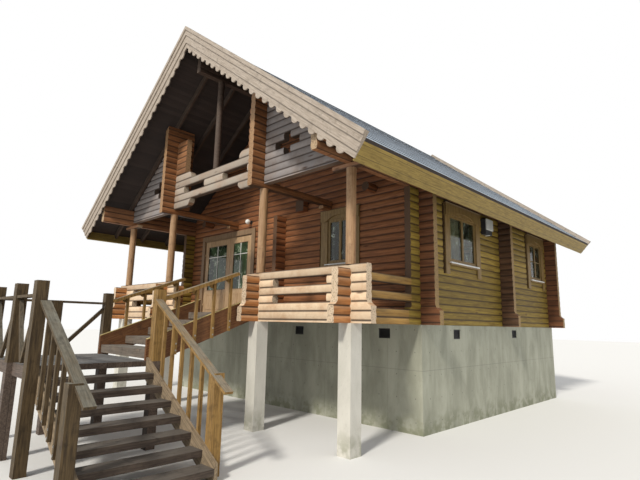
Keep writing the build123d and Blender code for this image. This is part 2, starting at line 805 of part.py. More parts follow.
# Landing with its posts; the lower flight runs off to the right, the upper one to the deck.
landing_z = landing_level - log_base
newel_half = newel / 2
newel_left = landing_left - newel_half
newel_right = flight_right + newel_half
newel_far = landing_right + 1.5 * newel
newel_middle = newel_left + 0.57 * (newel_far - newel_left)
newel_out = landing_outer - newel_half
newel_in = landing_inner + newel_half
newel_side = (newel_out + newel_in) / 2
rim = 190.0
brace_depth = 70.0
brace_head = 80.0
brace_foot = 40.0
low_newels = ((newel_left, newel_out), (newel_middle, newel_out), (newel_left, newel_in))


def post(x, y, z_from, z_to, mode=Mode.ADD):
    block(x - newel_half, x + newel_half, y - newel_half, y + newel_half, z_from, z_to, mode)


with BuildPart() as landing:
    block(newel_left, landing_right, newel_out, landing_inner, landing_z - tread, landing_z)
    block(newel_left, landing_right, newel_out, newel_out + tread, landing_z - rim, landing_z)
    block(newel_left, newel_left + tread, newel_out, landing_inner, landing_z - rim, landing_z)
    for x, y in (*low_newels, (newel_left, newel_side), (newel_right, newel_in)):
        post(x, y, -log_base, landing_z)
label_and_save(landing.part, "landing")

half_rail = handrail_width / 2
with BuildPart() as landing_railing:
    z = landing_z + landing_rail
    for x, y in low_newels:
        post(x, y, landing_z, landing_z + newel_height)
    post(newel_left, newel_side, landing_z, z)
    for a, b in ((newel_left, newel_middle), (newel_middle, newel_far)):
        y = newel_out
        block(a + newel_half, b - newel_half, y - half_rail, y + half_rail, z - handrail_depth, z)
        middle = (a + b) / 2
        for end in (a + newel_half, b - newel_half):
            beam((end, y, z - brace_head), (middle, y, landing_z + brace_foot), baluster, brace_depth)
    for a, b in ((newel_out, newel_side), (newel_side, newel_in)):
        x = newel_left
        block(x - half_rail, x + half_rail, a + newel_half, b - newel_half, z - handrail_depth, z)
    low_end = (newel_left, newel_side + newel_half, landing_z + 1.5 * brace_foot)
    high_end = (newel_left, newel_in - newel_half, z - handrail_width)
    beam(low_end, high_end, baluster, brace_depth)
    post(newel_far, newel_out, landing_z, landing_z + newel_height, Mode.SUBTRACT)
label_and_save(landing_railing.part, "landing_railing")

# Lower flight: treads between two raking side boards.
flight_foot = landing_right + (lower_risers - 1) * going
rake = riser / going
lower_string_above = 60.0
lower_string_below = 300.0


def raking_board(plane, start, end, above, below, rise_per_run, floor_z):
    """A board beside the steps, from start to end along the plane's x, cut level at the floor."""
    with BuildSketch(plane) as side_board:
        z_start = start[1]
        z_end = z_start + rise_per_run * (end - start[0])
        Polygon(
            (start[0], z_start + above),
            (end, z_end + above),
            (end, z_end - below),
            (start[0], z_start - below),
            align=None,
        )
        with Locations(((start[0] + end) / 2, floor_z - 1000)):
            Rectangle(abs(end - start[0]) + 100, 2000, mode=Mode.SUBTRACT)
    extrude(side_board.sketch, amount=string_thickness)


with BuildPart() as lower_flight:
    a = landing_outer + string_thickness
    b = landing_inner - string_thickness
    for k in range(1, lower_risers):
        x = landing_right + (k - 1) * going
        z = landing_z - k * riser
        block(x, x + going, a, b, z - tread, z)
    for y in (landing_outer, b):
        plane = Plane(origin=(0, y + string_thickness, log_base), x_dir=(1, 0, 0), z_dir=(0, -1, 0))
        start = (landing_right, landing_z)
        raking_board(plane, start, flight_foot, lower_string_above, lower_string_below, -rake, -log_base)
label_and_save(lower_flight.part, "lower_flight")

# Upper flight from the landing to the deck. Its last board lies level with the deck.
upper_rake = riser / upper_going
upper_string_above = 180.0
upper_string_below = 280.0
string_front = upper_foot - 34.0
with BuildPart() as upper_flight:
    a = flight_left + string_thickness
    b = flight_right - string_thickness
    for k in range(1, upper_risers + 1):
        y = upper_foot + (k - 1) * upper_going
        z = landing_z + k * riser
        block(a, b, y, min(y + upper_going, deck_edge), z - tread, z)
        block(a, b, y, y + board, z - apron, z - tread)
    for x in (flight_left, b):
        plane = Plane(origin=(x, 0, log_base), x_dir=(0, 1, 0), z_dir=(1, 0, 0))
        start = (string_front, landing_z + riser)
        raking_board(plane, start, deck_edge, upper_string_above, upper_string_below, upper_rake, landing_z)
label_and_save(upper_flight.part, "upper_flight")

# Handrails of the flights, their newels and the balusters fixed to the side boards.
lower_balusters = 6
rail_rake = 0.59
rail_start = landing_z + 1030.0
rail_beyond = 1.25 * going
lower_newel_x = flight_foot - 0.85 * going
half = baluster / 2
baluster_foot = 190.0
for y, name in (
    (landing_outer - half, "lower_railing_left"),
    (landing_inner + half, "lower_railing_right"),
):
    with BuildPart() as railing:
        first_x = newel_right + newel_half
        start_x = (newel_far if y < landing_inner else newel_right) + newel_half
        end_x = lower_newel_x + rail_beyond
        start_z = rail_start - rail_rake * (start_x - first_x)
        end_z = rail_start - rail_rake * (end_x - first_x)
        beam((start_x, y, start_z), (end_x, y, end_z), handrail_width, handrail_depth)
        post(newel_right, newel_in, landing_z, landing_z + newel_height, Mode.SUBTRACT)
        for k in range(1, lower_balusters):
            x = start_x + k * (lower_newel_x - start_x) / lower_balusters
            top = rail_start - rail_rake * (x - first_x)
            low = landing_z - rake * (x - landing_right) - baluster_foot
            block(x - half, x + half, y - half, y + half, low, top)
        if y < landing_inner:
            post(newel_far, newel_out, -log_base, landing_z + newel_height)
        top = rail_start - rail_rake * (lower_newel_x - first_x)
        post(lower_newel_x, newel_out if y < landing_inner else newel_in, -log_base, top)
    label_and_save(railing.part, name)

upper_balusters = 4
baluster_pitch = 377.0
last_baluster = 156.0
for side, x, name in (
    (-1, flight_left - half, "upper_railing_left"),
    (1, flight_right + half, "upper_railing_right"),
):
    with BuildPart() as railing:
        y_start = newel_in + newel_half
        y_end = -porch_depth - foot - rail_end_gap
        z_start = landing_z + hand
        z_end = z_start + upper_rake * (y_end - y_start)
        beam((x, y_start, z_start), (x, y_end, z_end), handrail_width, upper_handrail_depth)
        for k in range(upper_balusters):
            y = y_end - last_baluster - (upper_balusters - 1 - k) * baluster_pitch
            z = z_start + upper_rake * (y - y_start)
            low = landing_z + riser + upper_rake * (y - string_front) - upper_string_below
            block(x - half, x + half, y - half, y + half, max(low, landing_z), z)
        if side > 0:
            post(newel_right, newel_in, landing_z, landing_z + newel_height)
        else:
            post(newel_left, newel_in, landing_z, landing_z + newel_height, Mode.SUBTRACT)
    label_and_save(railing.part, name)
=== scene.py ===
import math
from functools import partial

import bmesh
import bpy
from mathutils import Matrix, Vector


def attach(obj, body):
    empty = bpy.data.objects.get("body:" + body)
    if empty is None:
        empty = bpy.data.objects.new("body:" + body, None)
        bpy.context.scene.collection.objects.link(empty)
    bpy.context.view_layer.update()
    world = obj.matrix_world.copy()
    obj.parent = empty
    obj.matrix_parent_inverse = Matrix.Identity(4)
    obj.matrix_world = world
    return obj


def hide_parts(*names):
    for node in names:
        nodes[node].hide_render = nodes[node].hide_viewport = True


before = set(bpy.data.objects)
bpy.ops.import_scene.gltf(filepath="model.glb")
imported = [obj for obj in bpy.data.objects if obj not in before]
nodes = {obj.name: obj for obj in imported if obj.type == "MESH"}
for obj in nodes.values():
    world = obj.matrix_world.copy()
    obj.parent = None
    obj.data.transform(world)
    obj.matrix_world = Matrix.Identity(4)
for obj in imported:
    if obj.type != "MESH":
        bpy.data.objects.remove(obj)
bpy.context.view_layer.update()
print("frame loaded:", len(nodes), "nodes")

# Main sizes of the cabin in metres. Joints between rows are counted from the underside of the lowest log.
cabin = {
    "logBase": 2.130,
    "row": 0.160,
    "jointX": 0.048,
    "jointY": 0.128,
    "jointPanel": 0.104,
    "jointBalcony": 2.984,
    "balconyRow": 0.190,
    "plateBase": 2.848,
    "halfWidth": 4.440,
    "length": 7.500,
    "porch": 2.200,
    "bay": 1.950,
    "logFace": 0.0786,  # just past the face of a log, from its middle
    "wallFront": -0.09,
    "slope": 0.770,
    "ridge": 9.1488,
    "eaveRun": 5.600,
}
pitch = math.atan(cabin["slope"])
slopeRun = cabin["eaveRun"] / math.cos(pitch)


work = {"tree": None}  # the node tree that is being built


def addNode(kind, **settings):
    node = work["tree"].nodes.new(kind)
    for key, value in settings.items():
        setattr(node, key, value)
    return node


def feed(value, socket):
    # Links a socket or sets a plain value. Colours come without their alpha.
    if isinstance(value, bpy.types.NodeSocket):
        work["tree"].links.new(value, socket)
    elif socket.type == "RGBA":
        socket.default_value = (*value, 1)
    else:
        socket.default_value = value


def calc(operation, *values, clamp=False):
    node = addNode("ShaderNodeMath", operation=operation, use_clamp=clamp)
    for value, socket in zip(values, node.inputs):
        feed(value, socket)
    return node.outputs[0]


plus, minus, times, larger = [partial(calc, name) for name in ("ADD", "SUBTRACT", "MULTIPLY", "MAXIMUM")]
beyond, below, magnitude = [partial(calc, name) for name in ("GREATER_THAN", "LESS_THAN", "ABSOLUTE")]
toNearest = partial(calc, "PINGPONG")  # from 0 on each even step up to the step on the odd ones


def farness(first, second):
    squares = [calc("POWER", value, 2.0) for value in (first, second)]
    return calc("SQRT", plus(*squares))


def vector(operation, *values):
    node = addNode("ShaderNodeVectorMath", operation=operation)
    for value, socket in zip(values, node.inputs):
        feed(value, socket)
    return node.outputs["Value" if operation == "DOT_PRODUCT" else 0]


def scaled(value, amount):
    node = addNode("ShaderNodeVectorMath", operation="SCALE")
    feed(value, node.inputs[0])
    feed(amount, node.inputs["Scale"])
    return node.outputs[0]


def blend(factor, first, second, mode="MIX"):
    node = addNode("ShaderNodeMix", data_type="RGBA", blend_type=mode)
    feed(factor, node.inputs[0])
    feed(first, node.inputs[6])
    feed(second, node.inputs[7])
    return node.outputs[2]


def between(factor, first, second):
    node = addNode("ShaderNodeMix", data_type="FLOAT")
    feed(factor, node.inputs[0])
    feed(first, node.inputs[2])
    feed(second, node.inputs[3])
    return node.outputs[0]


def span(value, low, high, toLow=0.0, toHigh=1.0):
    node = addNode("ShaderNodeMapRange", interpolation_type="SMOOTHSTEP")
    for part, socket in zip((value, low, high, toLow, toHigh), node.inputs):
        feed(part, socket)
    return node.outputs[0]


def nearMask(value, width, core=0.0, amount=1.0):
    # Full where the value is under the core, and nothing past the width.
    return span(value, core, width, amount, 0.0)


def noise(point, scale, detail=4.0, rough=0.55, twist=0.0):
    node = addNode("ShaderNodeTexNoise")
    feed(point, node.inputs["Vector"])
    node.inputs["Scale"].default_value = scale
    node.inputs["Detail"].default_value = detail
    node.inputs["Roughness"].default_value = rough
    node.inputs["Distortion"].default_value = twist
    return node.outputs[0]


def split(point):
    node = addNode("ShaderNodeSeparateXYZ")
    feed(point, node.inputs[0])
    return node.outputs


def joined(x, y, z):
    node = addNode("ShaderNodeCombineXYZ")
    for value, socket in zip((x, y, z), node.inputs):
        feed(value, socket)
    return node.outputs[0]


def shade(body, level):
    # Makes a colour lighter or darker by one number.
    return blend(1.0, body, joined(level, level, level), "MULTIPLY")


def boardNumber(across):
    # One random number for each board.
    dice = addNode("ShaderNodeTexWhiteNoise", noise_dimensions="1D")
    feed(calc("FLOOR", across), dice.inputs["W"])
    return dice.outputs["Value"]


def newGroup(name, inputs, outputs):
    group = bpy.data.node_groups.new(name, "ShaderNodeTree")
    for label, kind, value in inputs:
        socket = group.interface.new_socket(label, in_out="INPUT", socket_type=kind)
        if value is not None:
            socket.default_value = value
    for label in outputs:
        group.interface.new_socket(label, in_out="OUTPUT", socket_type=number)
    work["tree"] = group
    return group, addNode("NodeGroupInput").outputs, addNode("NodeGroupOutput").inputs


def place(group, **values):
    node = addNode("ShaderNodeGroup", node_tree=group)
    for label, value in values.items():
        feed(value, node.inputs[label])
    return node.outputs


number = "NodeSocketFloat"
arrow = "NodeSocketVector"


grainSet = {
    "across": 9.0, "along": 0.55, "streak": 3.4, "fine": 26.0, "knotAcross": 6.2, "knotAlong": 1.5,
    "knotShare": 0.55, "knotCore": 0.05, "knotEdge": 0.17,
}


def makeWoodGrain(s):
    group, have, give = newGroup(
        "woodGrain", [("Point", arrow, None), ("Grain", arrow, (1, 0, 0)), ("Scale", number, 1.0)],
        ("Streak", "Fine", "Knot"))
    amount = vector("DOT_PRODUCT", have["Point"], have["Grain"])
    alongPart = scaled(have["Grain"], amount)
    acrossPart = vector("SUBTRACT", have["Point"], alongPart)

    def stretched(across, along):
        return vector("ADD", scaled(acrossPart, across), scaled(alongPart, along))

    fibres = scaled(stretched(s["across"], s["along"]), have["Scale"])
    feed(noise(fibres, s["streak"], 6.0, 0.62, 0.5), give["Streak"])
    feed(noise(fibres, s["fine"], 3.0, 0.6), give["Fine"])
    knots = addNode("ShaderNodeTexVoronoi")
    feed(stretched(s["knotAcross"], s["knotAlong"]), knots.inputs["Vector"])
    knots.inputs["Scale"].default_value = 1.0
    rare = beyond(split(knots.outputs["Color"])[0], s["knotShare"])
    spot = nearMask(knots.outputs["Distance"], s["knotEdge"], s["knotCore"])
    feed(times(spot, rare), give["Knot"])
    return group


rowSet = {
    "grooveCore": 0.03, "grooveEdge": 0.17, "wallsPerMetre": 2.0, "endFacing": 0.8, "logsPerMetre": 6.4,
    "logWidth": 0.156, "wobble": 0.02, "wobbleScale": 14.0, "rings": 900.0,
}


def makeLogRows(s):
    # Rows of logs: groove at the joints, a number for each log, and the cut ends with their rings.
    group, have, give = newGroup(
        "logRows",
        [("Point", arrow, None), ("Facing", arrow, None), ("AlongY", number, 0.0),
         ("JointX", number, 0.0), ("JointY", number, 0.0), ("Height", number, cabin["row"])],
        ("Groove", "Log", "EndFace", "Ring"))
    x, y, z = split(have["Point"])
    facing = split(have["Facing"])
    joint = between(have["AlongY"], have["JointX"], have["JointY"])
    rise = calc("DIVIDE", minus(z, joint), have["Height"])
    gap = toNearest(rise, 0.5)
    feed(nearMask(gap, s["grooveEdge"], s["grooveCore"]), give["Groove"])
    across = between(have["AlongY"], y, x)
    wall = calc("ROUND", times(across, s["wallsPerMetre"]))
    dice = addNode("ShaderNodeTexWhiteNoise", noise_dimensions="3D")
    feed(joined(calc("FLOOR", rise), wall, have["AlongY"]), dice.inputs["Vector"])
    feed(dice.outputs["Value"], give["Log"])
    turned = between(have["AlongY"], magnitude(facing[0]), magnitude(facing[1]))
    feed(beyond(turned, s["endFacing"]), give["EndFace"])
    upwards = times(minus(0.5, gap), have["Height"])
    sideways = minus(calc("FRACT", times(across, s["logsPerMetre"])), 0.5)
    radius = farness(upwards, times(sideways, s["logWidth"]))
    wobble = times(noise(have["Point"], s["wobbleScale"], 2.0), s["wobble"])
    rings = calc("SINE", times(plus(radius, wobble), s["rings"]))
    feed(plus(times(rings, 0.5), 0.5), give["Ring"])
    return group


wearSet = {
    "patch": 1.7, "spot": 9.0, "patchShare": 0.7, "spotShare": 0.3, "low": 0.25, "high": 0.62,
    "least": 0.35, "dirtLow": 0.5, "dirtHigh": 0.75,
}


def makeWeathering(s):
    # Bleaching of the faces that look to the front or up, and dirt in spots.
    group, have, give = newGroup(
        "weathering",
        [("Point", arrow, None), ("Facing", arrow, None), ("Front", number, 0.5), ("Up", number, 0.5)],
        ("Bleach", "Dirt"))
    facing = split(have["Facing"])
    patches = noise(have["Point"], s["patch"], 5.0, 0.6)
    spots = noise(have["Point"], s["spot"], 4.0, 0.6)
    front = times(larger(times(facing[1], -1.0), 0.0), have["Front"])
    up = times(larger(facing[2], 0.0), have["Up"])
    amount = calc("ADD", front, up, clamp=True)
    mixed = plus(times(patches, s["patchShare"]), times(spots, s["spotShare"]))
    feed(times(amount, span(mixed, s["low"], s["high"], s["least"], 1.0)), give["Bleach"])
    feed(span(spots, s["dirtLow"], s["dirtHigh"]), give["Dirt"])
    return group


woodGrain = makeWoodGrain(grainSet)
logRows = makeLogRows(rowSet)
weathering = makeWeathering(wearSet)


def newMaterial(name, rough=0.6):
    material = bpy.data.materials.new(name)
    material.use_nodes = True
    work["tree"] = material.node_tree
    shader = material.node_tree.nodes["Principled BSDF"]
    shader.inputs["Roughness"].default_value = rough
    where = addNode("ShaderNodeTexCoord")
    return material, shader, where.outputs["Object"], where.outputs["Normal"]


def addBump(shader, height, strength, distance):
    bump = addNode("ShaderNodeBump")
    bump.inputs["Strength"].default_value = strength
    bump.inputs["Distance"].default_value = distance
    feed(height, bump.inputs["Height"])
    feed(bump.outputs[0], shader.inputs["Normal"])


reliefShares = {"Streak": 0.6, "Fine": 0.4}


def grainRelief(grain):
    return plus(*[times(grain[part], share) for part, share in reliefShares.items()])


def wearOf(point, facing, look):
    return place(weathering, Point=point, Facing=facing, Front=look["front"], Up=look["up"])


woodShine = 0.3

logSet = {
    "shiftX": 7.0, "shiftY": 5.0, "streakLow": 0.32, "streakHigh": 0.68, "toneLow": 0.74,
    "toneHigh": 1.16, "knot": 0.75, "knotColour": (0.07, 0.03, 0.015), "groove": 0.8,
    "grooveColour": (0.035, 0.02, 0.013), "ring": 0.5, "ringColour": (0.06, 0.035, 0.02),
    "checks": 31.0, "checkLow": 0.52, "checkHigh": 0.66, "check": 0.55,
    "checkColour": (0.1, 0.06, 0.04), "smooth": 0.12, "dull": 0.14, "bump": 0.35, "depth": 0.006,
}


def turnOf(point, along):
    # 1 where the logs lie along y and 0 where they lie along x. In pieces that have both, the place tells.
    if along in ("x", "y"):
        return float(along == "y")
    x, y, z = split(point)
    if along == "railing":
        return beyond(magnitude(plus(y, cabin["porch"])), cabin["logFace"])
    if along == "column":
        return beyond(magnitude(x), cabin["bay"] - cabin["logFace"])
    if along == "plate":
        return beyond(z, cabin["logBase"] + cabin["plateBase"])
    if along == "inner":
        return below(magnitude(x), cabin["halfWidth"])
    return below(y, cabin["wallFront"])


def logMaterial(name, look, along):
    s = logSet
    material, shader, point, facing = newMaterial(name)
    alongY = turnOf(point, along)
    rows = place(
        logRows, Point=point, Facing=facing, AlongY=alongY,
        JointX=cabin["logBase"] + look.get("joint", cabin["jointX"]),
        JointY=cabin["logBase"] + cabin["jointY"], Height=look.get("height", cabin["row"]),
    )
    shift = joined(times(rows["Log"], s["shiftX"]), times(rows["Log"], s["shiftY"]), 0.0)
    moved = vector("ADD", point, shift)
    grain = place(woodGrain, Point=moved, Grain=joined(minus(1.0, alongY), alongY, 0.0), Scale=1.0)
    body = blend(span(grain["Streak"], s["streakLow"], s["streakHigh"]), look["deep"], look["pale"])
    bleached = blend(grain["Fine"], look["greyDeep"], look["grey"])
    body = blend(wearOf(point, facing, look)["Bleach"], body, bleached)
    body = shade(body, between(rows["Log"], s["toneLow"], s["toneHigh"]))
    if "outer" in look:  # log ends past the corner, darkened as painted shade
        past = beyond(magnitude(split(point)[0]), cabin["halfWidth"])
        body = blend(past, body, look["outer"], "MULTIPLY")
    body = blend(times(grain["Knot"], s["knot"]), body, s["knotColour"])
    # Dark band at each joint between logs: a dark joint, widened into painted shade in the crease between
    # the round logs
    body = blend(times(rows["Groove"], look.get("groove", s["groove"])), body, s["grooveColour"])
    cut = look["end"]
    if "endY" in look:  # ends of the logs along y; their darker colour is painted shade
        cut = blend(alongY, cut, look["endY"])
    ends = blend(times(rows["Ring"], s["ring"]), cut, s["ringColour"])
    checks = span(noise(point, s["checks"], 3.0), s["checkLow"], s["checkHigh"], 0.0, s["check"])
    ends = blend(checks, ends, s["checkColour"])
    feed(blend(rows["EndFace"], body, ends), shader.inputs["Base Color"])
    rough = between(grain["Streak"], look["rough"] - s["smooth"], look["rough"] + s["dull"])
    feed(rough, shader.inputs["Roughness"])
    shader.inputs["Specular IOR Level"].default_value = woodShine
    addBump(shader, grainRelief(grain), s["bump"], s["depth"])
    return material


boardSet = {
    "lying": 0.3, "shift": 9.0, "seamWidth": 0.04, "scale": 1.6, "sideScale": 1.4, "streakLow": 0.3,
    "streakHigh": 0.7, "toneLow": 0.8, "toneHigh": 1.12, "knot": 0.5, "knotColour": (0.08, 0.045, 0.03),
    "dirt": 0.35, "dirtLevel": 0.35, "gap": 0.85, "gapColour": (0.02, 0.014, 0.01), "gapDepth": 1.5,
    "smooth": 0.1, "dull": 0.12, "bump": 0.4, "depth": 0.004,
}


def boardMaterial(name, look, grainWay, seamWay=None, seam=0.12, mirrored=False, sides=None, posts=False):
    s = boardSet
    material, shader, point, facing = newMaterial(name)
    where = point
    if posts:  # upright grain, but along the handrail on faces that look up or down
        lying = beyond(magnitude(split(facing)[2]), s["lying"])
        mixed = addNode("ShaderNodeMix", data_type="VECTOR")
        for value, slot in ((lying, 0), ((0, 0, 1), 4), (grainWay, 5)):
            feed(value, mixed.inputs[slot])
        grainWay = mixed.outputs[1]
    if mirrored:  # the same boards on both slopes of the roof
        x, y, z = split(point)
        where = joined(magnitude(x), y, z)
    moved = where
    if seamWay:
        across = calc("DIVIDE", vector("DOT_PRODUCT", where, seamWay), seam)
        board = boardNumber(across)
        gap = nearMask(toNearest(across, 0.5), look.get("seamWidth", s["seamWidth"]))
        shift = times(board, s["shift"])
        moved = vector("ADD", where, joined(shift, shift, 0.0))
    grain = place(woodGrain, Point=moved, Grain=grainWay, Scale=s["scale"])
    worn = wearOf(point, facing, look)
    streaks = span(grain["Streak"], s["streakLow"], s["streakHigh"])
    body = blend(streaks, look["deep"], look["pale"])
    bleached = blend(between(0.5, streaks, grain["Fine"]), look["greyDeep"], look["grey"])
    body = blend(worn["Bleach"], body, bleached)
    if sides:  # the boards beside the treads
        away = magnitude(minus(split(point)[sides["axis"]], sides["middle"]))
        other = place(woodGrain, Point=point, Grain=sides["grain"], Scale=s["sideScale"])
        streaks = span(other["Streak"], s["streakLow"], s["streakHigh"])
        edge = blend(streaks, sides["deep"], sides["pale"])
        body = blend(beyond(away, sides["reach"]), body, edge)
    if seamWay:
        body = shade(body, between(board, s["toneLow"], s["toneHigh"]))
    body = blend(times(grain["Knot"], s["knot"]), body, s["knotColour"])
    dirty = [v * s["dirtLevel"] for v in look["deep"]]
    body = blend(times(worn["Dirt"], look.get("dirt", s["dirt"])), body, dirty)
    relief = grainRelief(grain)
    if seamWay:
        body = blend(times(gap, s["gap"]), body, s["gapColour"])
        relief = minus(relief, times(gap, s["gapDepth"]))
    feed(body, shader.inputs["Base Color"])
    rough = between(grain["Fine"], look["rough"] - s["smooth"], look["rough"] + s["dull"])
    feed(rough, shader.inputs["Roughness"])
    shader.inputs["Specular IOR Level"].default_value = woodShine
    addBump(shader, relief, s["bump"], s["depth"])
    return material


def look(front, up, rough, pale, deep, grey, greyDeep, end=None, **more):
    # How far faces to the front and up bleach, the roughness, sound wood, bleached wood and log ends.
    return dict(
        more, front=front, up=up, rough=rough, pale=pale, deep=deep, grey=grey, greyDeep=greyDeep, end=end)


looks = {
    # frontLogs: outer darkens the log ends past the corners as painted shade
    "frontLogs": look(0.1, 0.1, 0.6, (0.39, 0.155, 0.058), (0.185, 0.065, 0.025), (0.4, 0.26, 0.15),
        (0.24, 0.14, 0.075), (0.36, 0.235, 0.095), outer=(0.58, 0.58, 0.64)),
    "upperLogs": look(0.1, 0.1, 0.6, (0.32, 0.12, 0.045), (0.15, 0.05, 0.02), (0.4, 0.26, 0.15),
        (0.24, 0.14, 0.075), (0.1, 0.058, 0.036)),
    # sideLogs: the dark end colour is painted shadow on the stacks of log ends at the corners
    "sideLogs": look(0.05, 0.1, 0.6, (0.33, 0.23, 0.042), (0.175, 0.107, 0.017), (0.42, 0.3, 0.15),
        (0.26, 0.17, 0.07), (0.12, 0.07, 0.04)),
    "porchLogs": look(1.3, 0.8, 0.55, (0.5, 0.22, 0.075), (0.28, 0.11, 0.035), (0.88, 0.72, 0.53),
        (0.62, 0.45, 0.29), (0.74, 0.58, 0.41), groove=0.9),
    "porchSideLogs": look(1.3, 0.8, 0.55, (0.42, 0.24, 0.062), (0.23, 0.125, 0.03), (0.66, 0.5, 0.24),
        (0.42, 0.3, 0.14), (0.66, 0.5, 0.33), groove=0.9),
    # panelLogs: the dark end colour is painted shade on the cut faces, seen inside the cross
    "panelLogs": look(1.1, 0.6, 0.7, (0.27, 0.185, 0.13), (0.15, 0.1, 0.075), (0.38, 0.35, 0.345),
        (0.215, 0.195, 0.19), (0.1, 0.075, 0.06), joint=cabin["jointPanel"]),
    "balconyLogs": look(1.2, 0.8, 0.65, (0.42, 0.26, 0.16), (0.24, 0.13, 0.08), (0.46, 0.41, 0.345),
        (0.27, 0.225, 0.185), (0.6, 0.5, 0.38), joint=cabin["jointBalcony"], height=cabin["balconyRow"]),
    "columnLogs": look(0.2, 0.3, 0.55, (0.31, 0.13, 0.048), (0.15, 0.057, 0.021), (0.46, 0.32, 0.2),
        (0.28, 0.17, 0.1), (0.42, 0.25, 0.13), joint=cabin["jointPanel"]),
    "plateLogs": look(0.2, 0.3, 0.6, (0.34, 0.16, 0.07), (0.18, 0.075, 0.035), (0.42, 0.32, 0.24),
        (0.26, 0.18, 0.12), (0.5, 0.36, 0.22)),
    "bargeBoards": look(0.5, 0.5, 0.7, (0.45, 0.38, 0.31), (0.25, 0.2, 0.155), (0.49, 0.44, 0.385),
        (0.3, 0.25, 0.21)),
    "fasciaBoards": look(0.2, 0.3, 0.5, (0.385, 0.27, 0.066), (0.225, 0.15, 0.034), (0.45, 0.375, 0.175),
        (0.28, 0.2, 0.09), dirt=0.25, seamWidth=0.03),
    # roofTimber: dark stain, made darker still as painted shade under the roof
    "roofTimber": look(0.4, 0.1, 0.7, (0.1, 0.065, 0.047), (0.05, 0.03, 0.022), (0.15, 0.125, 0.105),
        (0.08, 0.065, 0.055)),
    "postWood": look(0.4, 0.2, 0.5, (0.39, 0.235, 0.12), (0.24, 0.125, 0.056), (0.52, 0.38, 0.25),
        (0.34, 0.21, 0.12)),
    "deckBoards": look(0.2, 0.7, 0.75, (0.22, 0.145, 0.1), (0.1, 0.065, 0.045), (0.3, 0.27, 0.24),
        (0.15, 0.13, 0.115), seamWidth=0.05),
    "landingBoards": look(0.1, 0.85, 0.75, (0.15, 0.11, 0.085), (0.07, 0.05, 0.04), (0.24, 0.255, 0.26),
        (0.11, 0.115, 0.115), dirt=0.4),
    "stepBoards": look(0.2, 0.8, 0.8, (0.105, 0.078, 0.06), (0.045, 0.033, 0.026), (0.17, 0.155, 0.135),
        (0.07, 0.062, 0.054), dirt=0.5),
    "upperSteps": look(0.5, 0.9, 0.7, (0.2, 0.135, 0.09), (0.09, 0.06, 0.042), (0.27, 0.265, 0.24),
        (0.13, 0.125, 0.11), dirt=0.5),
    "railBoards": look(0.12, 1.2, 0.7, (0.345, 0.205, 0.062), (0.17, 0.094, 0.028), (0.34, 0.31, 0.245),
        (0.105, 0.09, 0.072), dirt=0.5),
    "landingPosts": look(0.15, 1.2, 0.75, (0.11, 0.073, 0.034), (0.04, 0.026, 0.013), (0.25, 0.24, 0.195),
        (0.08, 0.074, 0.06), dirt=0.5),
    "doorWood": look(0.1, 0.1, 0.4, (0.56, 0.39, 0.23), (0.36, 0.225, 0.12), (0.4, 0.3, 0.2),
        (0.26, 0.17, 0.1), dirt=0.15),
    "doorTrim": look(0.2, 0.4, 0.45, (0.26, 0.16, 0.08), (0.15, 0.085, 0.04), (0.5, 0.42, 0.34),
        (0.36, 0.28, 0.2), dirt=0.2),
    "trimWood": look(0.15, 0.4, 0.45, (0.28, 0.185, 0.066), (0.16, 0.096, 0.032), (0.46, 0.38, 0.27),
        (0.3, 0.22, 0.14), dirt=0.25),
    "stripWood": look(0.1, 0.4, 0.5, (0.62, 0.5, 0.2), (0.46, 0.34, 0.12), (0.5, 0.46, 0.32),
        (0.36, 0.32, 0.2), dirt=0.4),
    "floorBoards": look(0.0, 0.1, 0.45, (0.5, 0.34, 0.2), (0.36, 0.22, 0.12), (0.5, 0.4, 0.3),
        (0.4, 0.3, 0.2), seamWidth=0.03),
}
# Partition log ends: endY and outer darken them as painted shade
looks["innerLogEnds"] = dict(looks["frontLogs"], endY=(0.14, 0.07, 0.035), outer=(0.36, 0.46, 0.62))

# Ways of the grain, and the boards beside the treads of both flights.
lean = {"lower": 0.514, "upper": 0.355}
alongX, alongY, upright = (1, 0, 0), (0, 1, 0), (0, 0, 1)
downSlope = (math.cos(pitch), 0, -math.sin(pitch))
offSlope = (math.sin(pitch), 0, math.cos(pitch))
alongLower = (math.cos(lean["lower"]), 0, -math.sin(lean["lower"]))
alongUpper = (0, math.cos(lean["upper"]), math.sin(lean["upper"]))
lowerSides = dict(
    pale=(0.33, 0.25, 0.165), deep=(0.16, 0.12, 0.075), axis=1, middle=-5.36, reach=0.829,
    grain=alongLower)
upperSides = dict(
    pale=(0.21, 0.095, 0.039), deep=(0.105, 0.043, 0.018), axis=0, middle=0.8, reach=0.989,
    grain=alongUpper)

